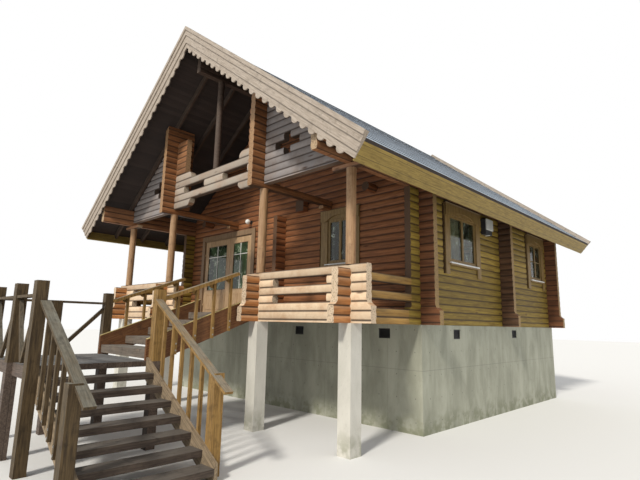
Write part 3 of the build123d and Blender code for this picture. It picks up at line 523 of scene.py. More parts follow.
logPieces = {  # finish: which way its logs lie and the CAD nodes that wear it
    "frontLogs": ("x", "front_wall_left", "front_wall_right", "front_wall_over_door", "rear_wall"),
    "upperLogs": ("upper", "upper_front_wall"),
    "sideLogs": ("y", "side_wall_left", "side_wall_right"),
    "innerLogEnds": ("inner", "partition_log_ends"),
    "porchLogs": ("railing", "front_railing_left", "front_railing_right"),
    "porchSideLogs": ("y", "side_railing_left", "side_railing_right"),
    "panelLogs": ("x", "gable_panel_left", "gable_panel_right"),
    "balconyLogs": ("x", "balcony_front"),
    "columnLogs": ("column", "gable_column_left", "gable_column_right"),
    "plateLogs": ("plate", "eave_plates"),
}
boardPieces = {  # finish: its look, how its boards lie and the CAD nodes that wear it
    "bargeBoards": (
        "bargeBoards", dict(grainWay=downSlope, mirrored=True), "front_bargeboards", "rear_bargeboards"),
    "fasciaBoards": (
        "fasciaBoards", dict(grainWay=alongY, seamWay=offSlope, seam=0.17, mirrored=True), "fascias"),
    "rafterWood": ("roofTimber", dict(grainWay=downSlope, mirrored=True), "rafters"),
    "beamWood": ("roofTimber", dict(grainWay=alongY), "ridge_beam"),
    "postWood": ("postWood", dict(grainWay=upright), "porch_posts"),
    "deckBoards": ("deckBoards", dict(grainWay=alongX, seamWay=alongY, seam=0.12), "deck"),
    "landingBoards": ("landingBoards", dict(grainWay=alongX, seamWay=alongY, seam=0.14), "landing"),
    "lowerSteps": ("stepBoards", dict(grainWay=alongY, sides=lowerSides), "lower_flight"),
    "upperStairs": ("upperSteps", dict(grainWay=alongX, sides=upperSides), "upper_flight"),
    "lowerRails": ("railBoards", dict(grainWay=alongLower, posts=True), "lower_railing_right"),
    "shadedRails": ("landingPosts", dict(grainWay=alongLower, posts=True), "lower_railing_left"),
    "upperRails": (
        "railBoards", dict(grainWay=alongUpper, posts=True), "upper_railing_left", "upper_railing_right"),
    "landingRails": ("landingPosts", dict(grainWay=upright), "landing_railing"),
    "stripWood": ("stripWood", dict(grainWay=alongUpper)),
    "doorWood": ("doorWood", dict(grainWay=upright), "door_leaf_left", "door_leaf_right"),
    "doorTrim": ("doorTrim", dict(grainWay=upright), "door_frame"),
    "trimWood": (
        "trimWood", dict(grainWay=upright), "front_window", "right_windows", "left_windows",
        "rear_windows"),
    "floorBoards": (
        "floorBoards", dict(grainWay=alongY, seamWay=alongX, seam=0.11), "ground_floor", "upper_floor"),
}
materials = {}
bare = set(nodes)


def wear(finish, material, *names):
    # Keeps a material under its name and gives it to CAD nodes.
    materials[finish] = material
    for name in names:
        mesh = nodes[name].data
        mesh.materials.clear()
        mesh.materials.append(material)
        bare.discard(name)


for finish, (along, *names) in logPieces.items():
    wear(finish, logMaterial(finish, looks[finish], along), *names)
for finish, (kind, ways, *names) in boardPieces.items():
    wear(finish, boardMaterial(finish, looks[kind], **ways), *names)
print("wood materials made")


def concreteMaterial(name, look):
    material, shader, point, _ = newMaterial(name, look["rough"])
    x, y, z = split(point)
    stains = noise(joined(x, y, times(z, look["streaks"])), look["stain"], 6.0, 0.62, 0.3)
    pores = noise(point, look["pores"], 3.0, 0.7)
    body = blend(span(stains, *look["stainSpan"]), look["dark"], look["light"])
    body = blend(span(pores, *look["poreSpan"], 0.0, look["pore"]), body, look["poreColour"])
    damp = nearMask(z, look["dampTop"], amount=look["damp"])
    moss = times(damp, span(noise(point, look["mossScale"], 5.0), *look["mossSpan"]))
    body = blend(moss, body, look["moss"])
    # Lines left by the form boards, and the round tie holes between them.
    levels = toNearest(minus(z, look["seamLevel"]), look["seamEvery"])
    along = plus(x, y)
    sides = toNearest(along, look["panel"] / 2)
    lines = larger(nearMask(levels, look["levelLine"]), nearMask(sides, look["panelLine"]))
    tieU, tieV = [minus(toNearest(v, look["tie"] / 2), look["tie"] / 4) for v in (along, z)]
    ties = nearMask(farness(tieU, tieV), look["tieEdge"], look["tieCore"], look["hole"])
    marks = larger(times(lines, look["line"]), ties)
    feed(blend(marks, body, look["markColour"]), shader.inputs["Base Color"])
    addBump(shader, minus(times(pores, 0.5), marks), look["bump"], look["depth"])
    return material


def roofMaterial(look):
    # Metal sheet above, boards where the sheet is seen from below.
    material, shader, point, facing = newMaterial("roofSheet")
    x, y, z = split(point)
    above = beyond(split(facing)[2], look["turn"])
    down = minus(cabin["ridge"], z)
    seam = nearMask(toNearest(calc("DIVIDE", y, look["sheet"]), 0.5), look["lap"])
    pans = calc("SINE", times(y, 2 * math.pi / look["pan"]))
    fade = noise(point, look["fade"], 5.0, 0.6)
    run = joined(times(y, look["streakAcross"]), times(down, look["streakDown"]), 0.0)
    streaks = noise(run, look["streak"], 5.0)
    metal = blend(span(fade, *look["fadeSpan"]), look["dark"], look["light"])
    metal = blend(span(streaks, *look["dustSpan"], 0.0, look["dusty"]), metal, look["dust"])
    metal = blend(times(seam, look["seam"]), metal, look["seamColour"])
    # Boards under the eaves: dark brown stain, made darker still as painted shade
    across = calc("DIVIDE", times(magnitude(x), 1 / math.cos(pitch)), look["board"])
    grain = place(woodGrain, Point=point, Grain=alongY, Scale=look["grain"])
    boards = blend(grain["Streak"], look["boardDeep"], look["boardPale"])
    boards = shade(boards, between(boardNumber(across), look["toneLow"], look["toneHigh"]))
    gap = nearMask(toNearest(across, 0.5), look["gap"])
    boards = blend(gap, boards, look["gapColour"])
    feed(blend(above, boards, metal), shader.inputs["Base Color"])
    feed(between(above, look["boardRough"], look["rough"]), shader.inputs["Roughness"])
    feed(times(above, look["metallic"]), shader.inputs["Metallic"])
    height = between(above, times(gap, -1.0), plus(times(pans, 0.5), seam))
    addBump(shader, height, look["bump"], look["depth"])
    return material


paintSet = {"fade": 6.0, "fadeSpan": (0.35, 0.7), "grit": 120.0, "bump": 0.15, "depth": 0.001}


def paintMaterial(name, colour, rough, speck=0.12, metallic=0.0):
    s = paintSet
    material, shader, point, _ = newMaterial(name, rough)
    fade = span(noise(point, s["fade"], 5.0, 0.6), *s["fadeSpan"])
    feed(blend(fade, [v * (1 - speck) for v in colour], colour), shader.inputs["Base Color"])
    shader.inputs["Metallic"].default_value = metallic
    addBump(shader, noise(point, s["grit"], 2.0), s["bump"], s["depth"])
    return material


def glassMaterial(name, look):
    # Dark glass with pale patches of painted reflection; a curtain behind it shows where it is see-through.
    material, shader, point, _ = newMaterial(name, look["rough"])
    x, y, z = split(point)
    waves = noise(point, look["waves"], 3.0, 0.5, 0.6)
    patches = noise(joined(x, y, times(z, look["upwards"])), look["patches"], 6.0, 0.72, 0.4)
    mirrored = span(patches, *look["skySpan"], 0.0, look["sky"])
    body = blend(span(waves, *look["waveSpan"]), look["dark"], look["light"])
    feed(blend(mirrored, body, look["skyColour"]), shader.inputs["Base Color"])
    if look["alpha"] < 1:
        feed(larger(mirrored, look["alpha"]), shader.inputs["Alpha"])
    for socket, value in look["shader"].items():
        shader.inputs[socket].default_value = value
    addBump(shader, waves, look["bump"], look["depth"])
    return material


concreteLook = dict(
    light=(0.42, 0.425, 0.345), dark=(0.275, 0.28, 0.22), rough=0.85, stain=2.2, stainSpan=(0.3, 0.72),
    streaks=0.35, pores=46.0, pore=0.35, poreSpan=(0.6, 0.75), poreColour=(0.2, 0.2, 0.18),
    moss=(0.17, 0.18, 0.11), mossScale=5.0, mossSpan=(0.4, 0.62), dampTop=0.55, damp=0.75, seamLevel=1.22,
    seamEvery=1.3, levelLine=0.012, panel=1.8, panelLine=0.009, tie=0.9, tieCore=0.009, tieEdge=0.016,
    line=0.35, hole=0.7, markColour=(0.12, 0.12, 0.11), bump=0.4, depth=0.006)
pierLook = dict(
    concreteLook, light=(0.64, 0.62, 0.56), dark=(0.5, 0.485, 0.43), moss=(0.27, 0.27, 0.19), line=0.0,
    hole=0.0)
roofLook = dict(
    light=(0.30, 0.37, 0.45), dark=(0.17, 0.22, 0.28), dust=(0.42, 0.45, 0.45), dusty=0.4, fade=1.3,
    fadeSpan=(0.3, 0.7), dustSpan=(0.55, 0.8), streak=3.0, streakAcross=7.0, streakDown=0.6, sheet=0.91,
    lap=0.02, seam=0.6, seamColour=(0.05, 0.06, 0.07), pan=0.182, rough=0.55, metallic=0.35, turn=-0.2,
    board=0.11, boardPale=(0.053, 0.036, 0.031), boardDeep=(0.027, 0.018, 0.015), toneLow=0.75,
    toneHigh=1.15, gap=0.04, gapColour=(0.02, 0.015, 0.012), grain=1.4, boardRough=0.75, bump=0.5,
    depth=0.012)
paneLook = dict(
    dark=(0.012, 0.018, 0.013), light=(0.05, 0.075, 0.045), rough=0.05, alpha=0.34, waves=1.1,
    waveSpan=(0.35, 0.65), patches=8.0, upwards=0.7, sky=0.78, skySpan=(0.54, 0.66),
    skyColour=(0.49, 0.57, 0.43), bump=0.05, depth=0.01,
    shader={"Specular IOR Level": 0.5, "IOR": 1.5, "Coat Weight": 1.0, "Coat Roughness": 0.02})
doorPaneLook = dict(
    paneLook, light=(0.06, 0.10, 0.05), alpha=1.0, sky=0.7,
    shader=dict(paneLook["shader"], **{"Coat Weight": 0.0}))
paints = {  # colour, roughness, how far the tone varies, metallic
    "whiteEdge": ((0.78, 0.79, 0.78), 0.45),
    "whitePaint": ((0.80, 0.79, 0.75), 0.5, 0.06),
    "greyBox": ((0.62, 0.63, 0.60), 0.5),
    "darkMetal": ((0.045, 0.04, 0.04), 0.45, 0.3, 0.6),
    "boltSteel": ((0.45, 0.44, 0.42), 0.35, 0.3, 0.9),
    "brassPart": ((0.55, 0.40, 0.16), 0.3, 0.2, 1.0),
    "ventDark": ((0.03, 0.03, 0.032), 0.6),
    "curtain": ((0.80, 0.75, 0.44), 0.9),
    "lampGlobe": ((0.86, 0.86, 0.82), 0.25, 0.03),
}
painted = {"greyBox": ["meter_box"], "lampGlobe": ["wall_lamp"]}
wear("concrete", concreteMaterial("concrete", concreteLook), "foundation")
wear("pierConcrete", concreteMaterial("pierConcrete", pierLook), "piers")
wear("roofSheet", roofMaterial(roofLook), "roof_left", "roof_right")
for finish, values in paints.items():
    wear(finish, paintMaterial(finish, *values), *painted.get(finish, []))
wear("paneGlass", glassMaterial("paneGlass", paneLook), "window_glass")
wear("doorGlass", glassMaterial("doorGlass", doorPaneLook))
print("other materials made, nodes without a finish:", sorted(bare))


def blockOf(bm, low, high):
    size = [b - a for a, b in zip(low, high)]
    middle = Vector([(a + b) / 2 for a, b in zip(low, high)])
    spot = Matrix.Translation(middle) @ Matrix.Diagonal((*size, 1))
    return bmesh.ops.create_cube(bm, size=1.0, matrix=spot)["verts"]


def borderOf(bm, across, through, rise, edge, lap=0.0):
    # Four bars around an opening. The limits are low and high; lap is how far they pass it.
    (a, b), (y0, y1), (low, high) = across, through, rise
    blockOf(bm, (a - lap, y0, low), (a + edge, y1, high))
    blockOf(bm, (b - edge, y0, low), (b + lap, y1, high))
    blockOf(bm, (a + edge, y0, low - lap), (b - edge, y1, low + edge))
    blockOf(bm, (a + edge, y0, high - edge), (b - edge, y1, high + lap))


def barOf(bm, start, end, width, depth):
    # A straight bar of square section; its width is level.
    start, end = Vector(start), Vector(end)
    way = (end - start).normalized()
    side = Vector((-way.y, way.x, 0)).normalized()
    turn = Matrix((way, side, way.cross(side))).transposed().to_4x4()
    size = Matrix.Diagonal(((end - start).length, width, depth, 1))
    spot = Matrix.Translation((start + end) / 2) @ turn @ size
    return bmesh.ops.create_cube(bm, size=1.0, matrix=spot)["verts"]


def rodOf(bm, start, end, radius, sides=12, tip=None):
    start, end = Vector(start), Vector(end)
    turn = (end - start).to_track_quat("Z", "Y").to_matrix().to_4x4()
    bmesh.ops.create_cone(
        bm, cap_ends=True, segments=sides, radius1=radius, radius2=radius if tip is None else tip,
        depth=(end - start).length, matrix=Matrix.Translation((start + end) / 2) @ turn)


def ballOf(bm, middle, radius, rings=12, squash=(1, 1, 1)):
    spot = Matrix.Translation(middle) @ Matrix.Diagonal((*[radius * v for v in squash], 1))
    bmesh.ops.create_uvsphere(bm, u_segments=2 * rings, v_segments=rings, radius=1.0, matrix=spot)


def soften(bm, width, segments=2):
    bmesh.ops.bevel(
        bm, geom=bm.edges[:], offset=width, affect="EDGES", segments=segments, profile=0.5, material=-1,
        clamp_overlap=True)


def spotOn(x, y, z, degrees):
    return Matrix.Translation((x, y, z)) @ Matrix.Rotation(math.radians(degrees), 4, "Z")


def addPiece(name, bm, finish, body="house", stands=(), smooth=False, spot=None):
    if spot:
        bmesh.ops.transform(bm, matrix=spot, verts=bm.verts[:])
    bmesh.ops.recalc_face_normals(bm, faces=bm.faces[:])
    mesh = bpy.data.meshes.new(name)
    bm.to_mesh(mesh)
    bm.free()
    mesh.materials.append(materials[finish])
    if smooth:
        mesh.shade_smooth()
    piece = bpy.data.objects.new(name, mesh)
    bpy.context.collection.objects.link(piece)
    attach(piece, body)
    if stands:
        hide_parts(*stands)


skin = 0.001  # how far pieces keep clear of one another


door = {
    "left": -3.640, "right": -1.195, "split": -2.272, "gap": 0.008, "stile": 0.170, "base": 2.322,
    "sill": 3.082, "glassTop": 4.500, "top": 4.670, "front": -0.068, "back": -0.018, "bar": 0.022,
    "barOut": 0.0155, "uprightHalf": 0.008, "crossHalf": 0.0075, "barLevel": 4.130, "paneHalf": 0.0075,
    "bead": 0.018, "beadDepth": 0.014, "beadLap": 0.002, "beadFront": 0.004, "beadBack": 0.010,
    "beadRound": 0.003, "panelGap": 0.11, "panelDrop": 0.12, "panelFoot": 0.17, "panelOut": 0.012,
    "panelRim": 0.035, "panelStep": 0.012, "panelDip": 0.008, "knobIn": 0.075, "knobLevel": 3.28,
    "knobOut": 0.05, "knob": 0.026, "lockRise": 0.11, "rose": (0.006, 0.032, 20, 0.028),
    "neck": (0.035, 0.011, 14), "lock": (0.012, 0.021, 16, 0.018), "boltIn": 0.052, "boltHalf": 0.012,
    "boltDepth": 0.008, "boltHeight": 0.11, "boltFoot": 0.10, "boltHead": 0.20, "boltRod": 0.005,
    "boltRodOut": 0.014, "boltRodEnd": 0.01, "boltRound": 0.0015,
}


def makeKnob(d, name, body, x):
    # Rose, neck and knob, and the rose of the lock above them, on both faces.
    z = d["knobLevel"]
    bm = bmesh.new()
    for y, out in ((d["front"], -1), (d["back"], 1)):
        for part, level in (("rose", z), ("neck", z), ("lock", z + d["lockRise"])):
            reach, *sizes = d[part]
            rodOf(bm, (x, y, level), (x, y + out * reach, level), *sizes)
        ballOf(bm, (x, y + out * d["knobOut"], z), d["knob"], 10, (1, 0.75, 1))
    addPiece(name + "Knob", bm, "brassPart", body, smooth=True)


def makeBolts(d, name, body, x):
    # Two slide bolts on the back of the leaf that is opened last.
    bm = bmesh.new()
    back, half, end = d["back"], d["boltHalf"], d["boltRodEnd"]
    for z in (d["base"] + d["boltFoot"], d["top"] - d["boltHead"]):
        blockOf(bm, (x - half, back, z), (x + half, back + d["boltDepth"], z + d["boltHeight"]))
        y = back + d["boltRodOut"]
        rodOf(bm, (x, y, z + end), (x, y, z + d["boltHeight"] - end), d["boltRod"], 10)
    soften(bm, d["boltRound"], 1)
    addPiece(name + "Bolts", bm, "darkMetal", body)


def makePanels(d, name, body, a, b):
    # Two raised panels below the glass, set in a moulded frame.
    bm = bmesh.new()
    wide = (b - a - 2 * d["stile"] - d["panelGap"]) / 2
    for k in range(2):
        x = a + d["stile"] + k * (wide + d["panelGap"])
        raised = blockOf(
            bm, (x, d["front"] - d["panelOut"], d["base"] + d["panelFoot"]),
            (x + wide, d["front"] + skin, d["sill"] - d["panelDrop"]))
        faces = [f for f in bm.faces if f.normal.y < -0.5 and all(v in raised for v in f.verts)]
        bmesh.ops.inset_region(bm, faces=faces, thickness=d["panelRim"], depth=0.0)
        bmesh.ops.inset_region(bm, faces=faces, thickness=d["panelStep"], depth=-d["panelDip"])
    addPiece(name + "Panels", bm, "doorWood", body)


def makeDoor(d):
    half, bar = d["gap"] / 2, d["bar"]
    glass = (d["front"] + d["back"]) / 2
    low, high = d["sill"], d["glassTop"]
    leaves = (
        ("left_leaf", "doorLeft", d["left"] + d["gap"], d["split"] - half),
        ("right_leaf", "doorRight", d["split"] + half, d["right"] - d["gap"]),
    )
    for body, name, a, b in leaves:
        inner, outer = a + d["stile"], b - d["stile"]
        middle = (inner + outer) / 2
        bars = bmesh.new()
        for y in (glass - d["barOut"], glass + d["barOut"]):
            y0, y1 = y - d["uprightHalf"], y + d["uprightHalf"]
            blockOf(bars, (middle - bar / 2, y0, low), (middle + bar / 2, y1, high))
            y0, y1 = y - d["crossHalf"], y + d["crossHalf"]
            blockOf(bars, (inner, y0, d["barLevel"]), (outer, y1, d["barLevel"] + bar))
        addPiece(name + "Bars", bars, "whitePaint", body)
        pane = bmesh.new()
        y0, y1 = glass - d["paneHalf"], glass + d["paneHalf"]
        blockOf(pane, (inner + skin, y0, low + skin), (outer - skin, y1, high - skin))
        soften(pane, skin, 1)
        addPiece(name + "Pane", pane, "doorGlass", body)
        beads = bmesh.new()
        for y in (d["front"] - d["beadFront"], d["back"] - d["beadBack"]):
            borderOf(beads, (inner, outer), (y, y + d["beadDepth"]), (low, high), d["bead"], d["beadLap"])
        soften(beads, d["beadRound"])
        addPiece(name + "Beads", beads, "doorTrim", body)
        makePanels(d, name, body, a, b)
        if body == "right_leaf":
            makeKnob(d, name, body, a + d["knobIn"])
        else:
            makeBolts(d, name, body, b - d["boltIn"])


windows = {
    "sill": 3.522, "height": 1.180, "head": 0.190, "trim": 0.176, "casing": 0.045, "sash": 0.055,
    "face": 0.108, "wallHalf": 0.078, "cap": 0.028, "capSide": 0.02, "capOut": 0.028, "capRound": 0.004,
    "noseSide": 0.012, "noseOut": 0.046, "noseIn": 0.03, "noseLow": -0.006, "noseTop": 0.026,
    "noseRound": 0.006, "bead": 0.012, "beadIn": 0.004, "bar": 0.020, "barDepth": 0.014, "cloth": 0.002,
    "clothIn": 0.045, "clothLap": 0.02, "fold": 0.085, "wave": 0.014, "steps": 48,
    "places": (  # name, turn, place of the middle on the wall, width, kind
        ("front", 0, (2.298, 0.0), 0.880, "plain"),
        ("rightOne", 90, (4.440, 1.82775), 1.384, "curtain"),
        ("rightTwo", 90, (4.440, 6.53625), 1.008, "bar"),
        ("leftOne", -90, (-4.440, 1.82775), 1.384, "curtain"),
        ("leftTwo", -90, (-4.440, 6.53625), 1.008, "bar"),
        ("rearOne", 180, (-2.3088, 7.500), 1.008, "bar"),
        ("rearTwo", 180, (2.3088, 7.500), 1.008, "bar"),
    ),
}


def makeCurtain(w, name, a, b, low, high, spot):
    # A hanging cloth with even folds behind one sash.
    bm = bmesh.new()
    y = -w["wallHalf"] + w["sash"] + w["clothIn"]
    grid = bmesh.ops.create_grid(bm, x_segments=w["steps"], y_segments=1, size=0.5)["verts"]
    for v in grid:
        across = (v.co.x + 0.5) * (b - a)
        rise = (v.co.y + 0.5) * (high - low + 2 * w["clothLap"])
        wave = w["wave"] * math.sin(across / w["fold"] * 2 * math.pi)
        v.co = Vector((a + across, y + wave, low - w["clothLap"] + rise))
    bmesh.ops.solidify(bm, geom=bm.faces[:], thickness=w["cloth"])
    addPiece(name + "Blind", bm, "curtain", smooth=True, spot=spot)


def makeWindow(w, name, turn, at, width, kind):
    spot = spotOn(*at, w["sill"], turn)
    outer = width / 2 + w["trim"] + w["capSide"]
    top = w["height"] + w["head"]
    # Cap over the head board and the pale sill.
    cap = bmesh.new()
    blockOf(cap, (-outer, -w["face"] - w["capOut"], top), (outer, -w["wallHalf"], top + w["cap"]))
    soften(cap, w["capRound"])
    addPiece(name + "WindowCap", cap, "plateLogs", spot=spot)
    sill = bmesh.new()
    outer = width / 2 + w["noseSide"]
    front, back = -w["face"] - w["noseOut"], -w["wallHalf"] + w["noseIn"]
    blockOf(sill, (-outer, front, w["noseLow"]), (outer, back, w["noseTop"]))
    soften(sill, w["noseRound"])
    addPiece(name + "WindowSill", sill, "whiteEdge", spot=spot)
    # Beads around the panes of both sashes.
    beads = bmesh.new()
    rim = w["casing"] + w["sash"]
    inside, low, high = width / 2 - rim, rim, w["height"] - rim
    y, edge = -w["wallHalf"] + w["beadIn"], w["bead"]
    for a, b in ((-inside, -w["sash"] / 2), (w["sash"] / 2, inside)):
        borderOf(beads, (a, b), (y, y + edge), (low, high), edge)
        if kind == "bar":
            z = (low + high) / 2
            blockOf(beads, (a + edge, y, z), (b - edge, y + w["barDepth"], z + w["bar"]))
    addPiece(name + "WindowBeads", beads, "trimWood", spot=spot)
    if kind == "curtain":
        makeCurtain(w, name, -inside - w["clothLap"], 0.0, low, high, spot)


vent = {
    "width": 0.300, "height": 0.208, "drop": 0.088, "side": 4.526, "front": -0.086, "rear": 7.586,
    "slats": 6, "rim": 0.022, "depth": 0.03, "slatFront": 0.002, "slatHalf": 0.0015, "slatTilt": 38,
    "backing": 0.028, "backingEnd": 0.031, "frontShares": (0.22, 0.815), "sideShares": (0.182, 0.61),
}


def makeVents(v):
    bm = bmesh.new()
    half, rim = v["width"] / 2, v["rim"]
    top = cabin["logBase"] - v["drop"]
    low = top - v["height"]
    spots = []
    for x in [side * share * cabin["halfWidth"] for share in v["frontShares"] for side in (-1, 1)]:
        spots += [spotOn(x, v["front"], 0, 0), spotOn(x, v["rear"], 0, 180)]
    for y in [share * cabin["length"] for share in v["sideShares"]]:
        spots += [spotOn(v["side"], y, 0, 90), spotOn(-v["side"], y, 0, -90)]
    for spot in spots:
        one = bmesh.new()
        borderOf(one, (-half, half), (0, v["depth"]), (low, top), rim)
        space = (v["height"] - 2 * rim) / v["slats"]
        tilt = Matrix.Rotation(math.radians(v["slatTilt"]), 3, "X")
        for k in range(v["slats"]):
            z, thin = low + rim + (k + 0.5) * space, v["slatHalf"]
            slat = blockOf(one, (-half + rim, v["slatFront"], z - thin), (half - rim, v["depth"], z + thin))
            bmesh.ops.rotate(one, verts=slat, cent=(0, (v["slatFront"] + v["depth"]) / 2, z), matrix=tilt)
        blockOf(one, (-half + rim, v["backing"], low + rim), (half - rim, v["backingEnd"], top - rim))
        bmesh.ops.transform(one, matrix=spot, verts=one.verts[:])
        mesh = bpy.data.meshes.new("vent")
        one.to_mesh(mesh)
        one.free()
        bm.from_mesh(mesh)
        bpy.data.meshes.remove(mesh)
    addPiece("ventGrilles", bm, "ventDark")


lamp = {
    "at": (-1.250, -0.213, 5.042), "radius": 0.074, "plate": (-0.078, -0.092, 0.058, 0.052),
    "stemFrom": -0.090, "stem": 0.018, "stemEnd": 0.045, "holder": (0.075, 0.048, 0.034, 0.052),
    "boxHalf": (0.03, 0.06), "boxBack": -0.066, "boxFront": -0.080, "round": 0.002,
}


def makeLamp(v):
    x, y, z = v["at"]
    wide, tall = v["boxHalf"]
    base = bmesh.new()
    start, end, radius, tip = v["plate"]
    rodOf(base, (x, start, z), (x, end, z), radius, 28, tip)
    rodOf(base, (x, v["stemFrom"], z), (x, y + v["stemEnd"], z), v["stem"], 16)
    start, end, radius, tip = v["holder"]
    rodOf(base, (x, y + start, z), (x, y + end, z), radius, 24, tip)
    blockOf(base, (x - wide, v["boxFront"], z - tall), (x + wide, v["boxBack"], z + tall))
    soften(base, v["round"], 1)
    addPiece("lampBase", base, "darkMetal")
    globe = bmesh.new()
    ballOf(globe, v["at"], v["radius"], 18)
    addPiece("lampGlobe", globe, "lampGlobe", stands=("wall_lamp",), smooth=True)


meter = {
    "low": (4.518, 2.8525, 4.418), "high": (4.668, 3.2525, 4.850), "caseRound": 0.006, "coverRound": 0.008,
    # The parts, as far as their corners lie from those of the box.
    "case": ((-0.006, 0, 0.02), (-0.03, -0.02, 0)), "strip": ((0, 0.02, 0.16), (-0.018, -0.37, -0.02)),
    "cover": ((0.02, 0.012, 0.14), (-0.004, -0.004, -0.008)),
    "dialAt": (4.518, 3.1025, 4.493), "dial": 0.066, "dialTip": 0.05, "dialOut": 0.10, "dialEnd": 0.118,
}


def makeMeter(m):
    def partOf(bm, name):
        low, high = m[name]
        blockOf(bm, [a + b for a, b in zip(m["low"], low)], [a + b for a, b in zip(m["high"], high)])

    case = bmesh.new()
    partOf(case, "case")
    soften(case, m["caseRound"])
    partOf(case, "strip")
    addPiece("meterCase", case, "ventDark")
    cover = bmesh.new()
    partOf(cover, "cover")
    soften(cover, m["coverRound"])
    addPiece("meterCover", cover, "greyBox", stands=("meter_box",))
    dial = bmesh.new()
    x, y, z = m["dialAt"]
    rodOf(dial, (x, y, z), (x + m["dialOut"], y, z), m["dial"], 28)
    rodOf(dial, (x + m["dialOut"], y, z), (x + m["dialEnd"], y, z), m["dial"], 28, m["dialTip"])
    addPiece("meterDial", dial, "greyBox")


roofEdges = {
    "front": -3.238, "rear": 8.304, "lip": 0.045, "lipThick": 0.010, "lipTop": 0.004, "lipShift": 0.004,
    "lipIn": 0.003, "capWide": 0.14, "capLow": -0.006, "capTop": -0.022, "vergeFrom": 0.12,
    "vergeEnd": 0.004, "vergeRise": 0.097, "vergeWide": 0.094, "vergeOut": 0.048, "vergeThick": 0.006,
}


def slopePoint(side, along, depth, y=0.0):
    x = along * math.cos(pitch) - depth * math.sin(pitch)
    z = cabin["ridge"] - along * math.sin(pitch) - depth * math.cos(pitch)
    return Vector((side * x, y, z))


def makeRoofEdges(e):
    # Pale drip edge along each eave, under the last course.
    drip = bmesh.new()
    for side in (-1, 1):
        ends = [slopePoint(side, slopeRun - e["lipIn"], depth) for depth in (e["lipTop"], e["lip"])]
        way = slopePoint(side, slopeRun, 0) - slopePoint(side, slopeRun - 1, 0)
        middle = (ends[0] + ends[1]) / 2
        start, end = [middle + Vector((0, y, 0)) - way * e["lipShift"] for y in (e["front"], e["rear"])]
        made = barOf(drip, start, end, e["lipThick"], e["lip"])
        bmesh.ops.rotate(drip, verts=made, cent=middle, matrix=Matrix.Rotation(side * pitch, 3, "Y"))
    addPiece("eaveDripEdges", drip, "whiteEdge")
    # Bent sheet over the ridge.
    cap = bmesh.new()
    wide, under, over = e["capWide"], e["capLow"], e["capTop"]
    corners = ((0.0, over), (0.0, under), (wide, under), (wide, over))
    for side in (-1, 1):
        face = cap.faces.new([cap.verts.new(slopePoint(side, *corner, e["front"])) for corner in corners])
        pushed = bmesh.ops.extrude_face_region(cap, geom=[face])["geom"]
        verts = [v for v in pushed if isinstance(v, bmesh.types.BMVert)]
        bmesh.ops.translate(cap, verts=verts, vec=(0, e["rear"] - e["front"], 0))
    addPiece("ridgeCap", cap, "roofSheet")
    # White strip on the top edge of the bargeboards.
    verge = bmesh.new()
    for side in (-1, 1):
        for y in (e["front"] - e["vergeOut"], e["rear"] + e["vergeOut"]):
            start = slopePoint(side, e["vergeFrom"], -e["vergeRise"], y)
            end = slopePoint(side, slopeRun - e["vergeEnd"], -e["vergeRise"], y)
            barOf(verge, start, end, e["vergeWide"], e["vergeThick"])
    addPiece("vergeStrips", verge, "whiteEdge")


stairs = {
    "strings": (-0.215, 1.815), "front": -4.532, "rear": -2.278, "frontTop": 1.782, "below": 0.460,
    "rake": 0.3708, "strip": 0.012, "stripWidth": 0.058, "stripRound": 0.003, "stripIn": 0.004,
    "stripEnd": 0.002, "upperBalusters": (-4.009, -3.632, -3.255, -2.878),
    "upperFaces": ((1.890, 1), (-0.290, -1)), "upperLifts": (0.07, 0.19), "lowerTop": 1.424,
    "lowerRake": 0.5651, "lowerFrom": 1.872, "lowerFoot": 0.190, "lowerCount": 6,
    "lowerRows": ((2.192, -6.290, -1), (2.000, -4.430, 1)), "lowerLifts": (0.05, 0.15), "newelX": 3.80925,
    "newelFace": -4.320, "newelLifts": (0.16, 0.34), "bolt": 0.011, "head": 0.007, "washer": 0.002,
    "washerWide": 1.5, "railAt": -4.320, "railLevel": 2.484, "railDrop": 0.036, "railX": (-0.265, 1.865),
    "bracket": (0.002, 0.085), "bracketThick": 0.030, "halfBaluster": 0.025,
}


def makeStringStrips(s):
    # Pale strips along the tops of the upper side boards.
    bm = bmesh.new()
    run = s["rear"] - s["front"]
    for x in s["strings"]:
        start = (x, s["front"] + s["stripIn"], s["frontTop"] + s["stripIn"])
        end = (x, s["rear"] - s["stripIn"], s["frontTop"] + s["rake"] * run + s["stripEnd"])
        barOf(bm, start, end, s["stripWidth"], s["strip"])
    soften(bm, s["stripRound"])
    addPiece("stringStrips", bm, "stripWood")


def makeStairBolts(s):
    # Bolt heads where the balusters are fixed to the side boards, each on its washer.
    bm = bmesh.new()

    def boltAt(point, way):
        point, way = Vector(point), Vector(way)
        rodOf(bm, point, point + way * s["washer"], s["bolt"] * s["washerWide"], 14)
        rodOf(bm, point, point + way * s["head"], s["bolt"], 6)

    for y in s["upperBalusters"]:
        low = s["frontTop"] + s["rake"] * (y - s["front"]) - s["below"]
        for lift in s["upperLifts"]:
            for x, out in s["upperFaces"]:
                boltAt((x, y, low + lift), (out, 0, 0))
    for startX, y, out in s["lowerRows"]:
        for k in range(1, s["lowerCount"]):
            x = startX + k * (s["newelX"] - startX) / s["lowerCount"]
            low = s["lowerTop"] - s["lowerRake"] * (x - s["lowerFrom"]) - s["lowerFoot"]
            for lift in s["lowerLifts"]:
                boltAt((x, y, low + lift), (0, out, 0))
    for z in s["newelLifts"]:
        boltAt((s["newelX"], s["newelFace"], z), (0, 1, 0))
    addPiece("stairBolts", bm, "boltSteel")


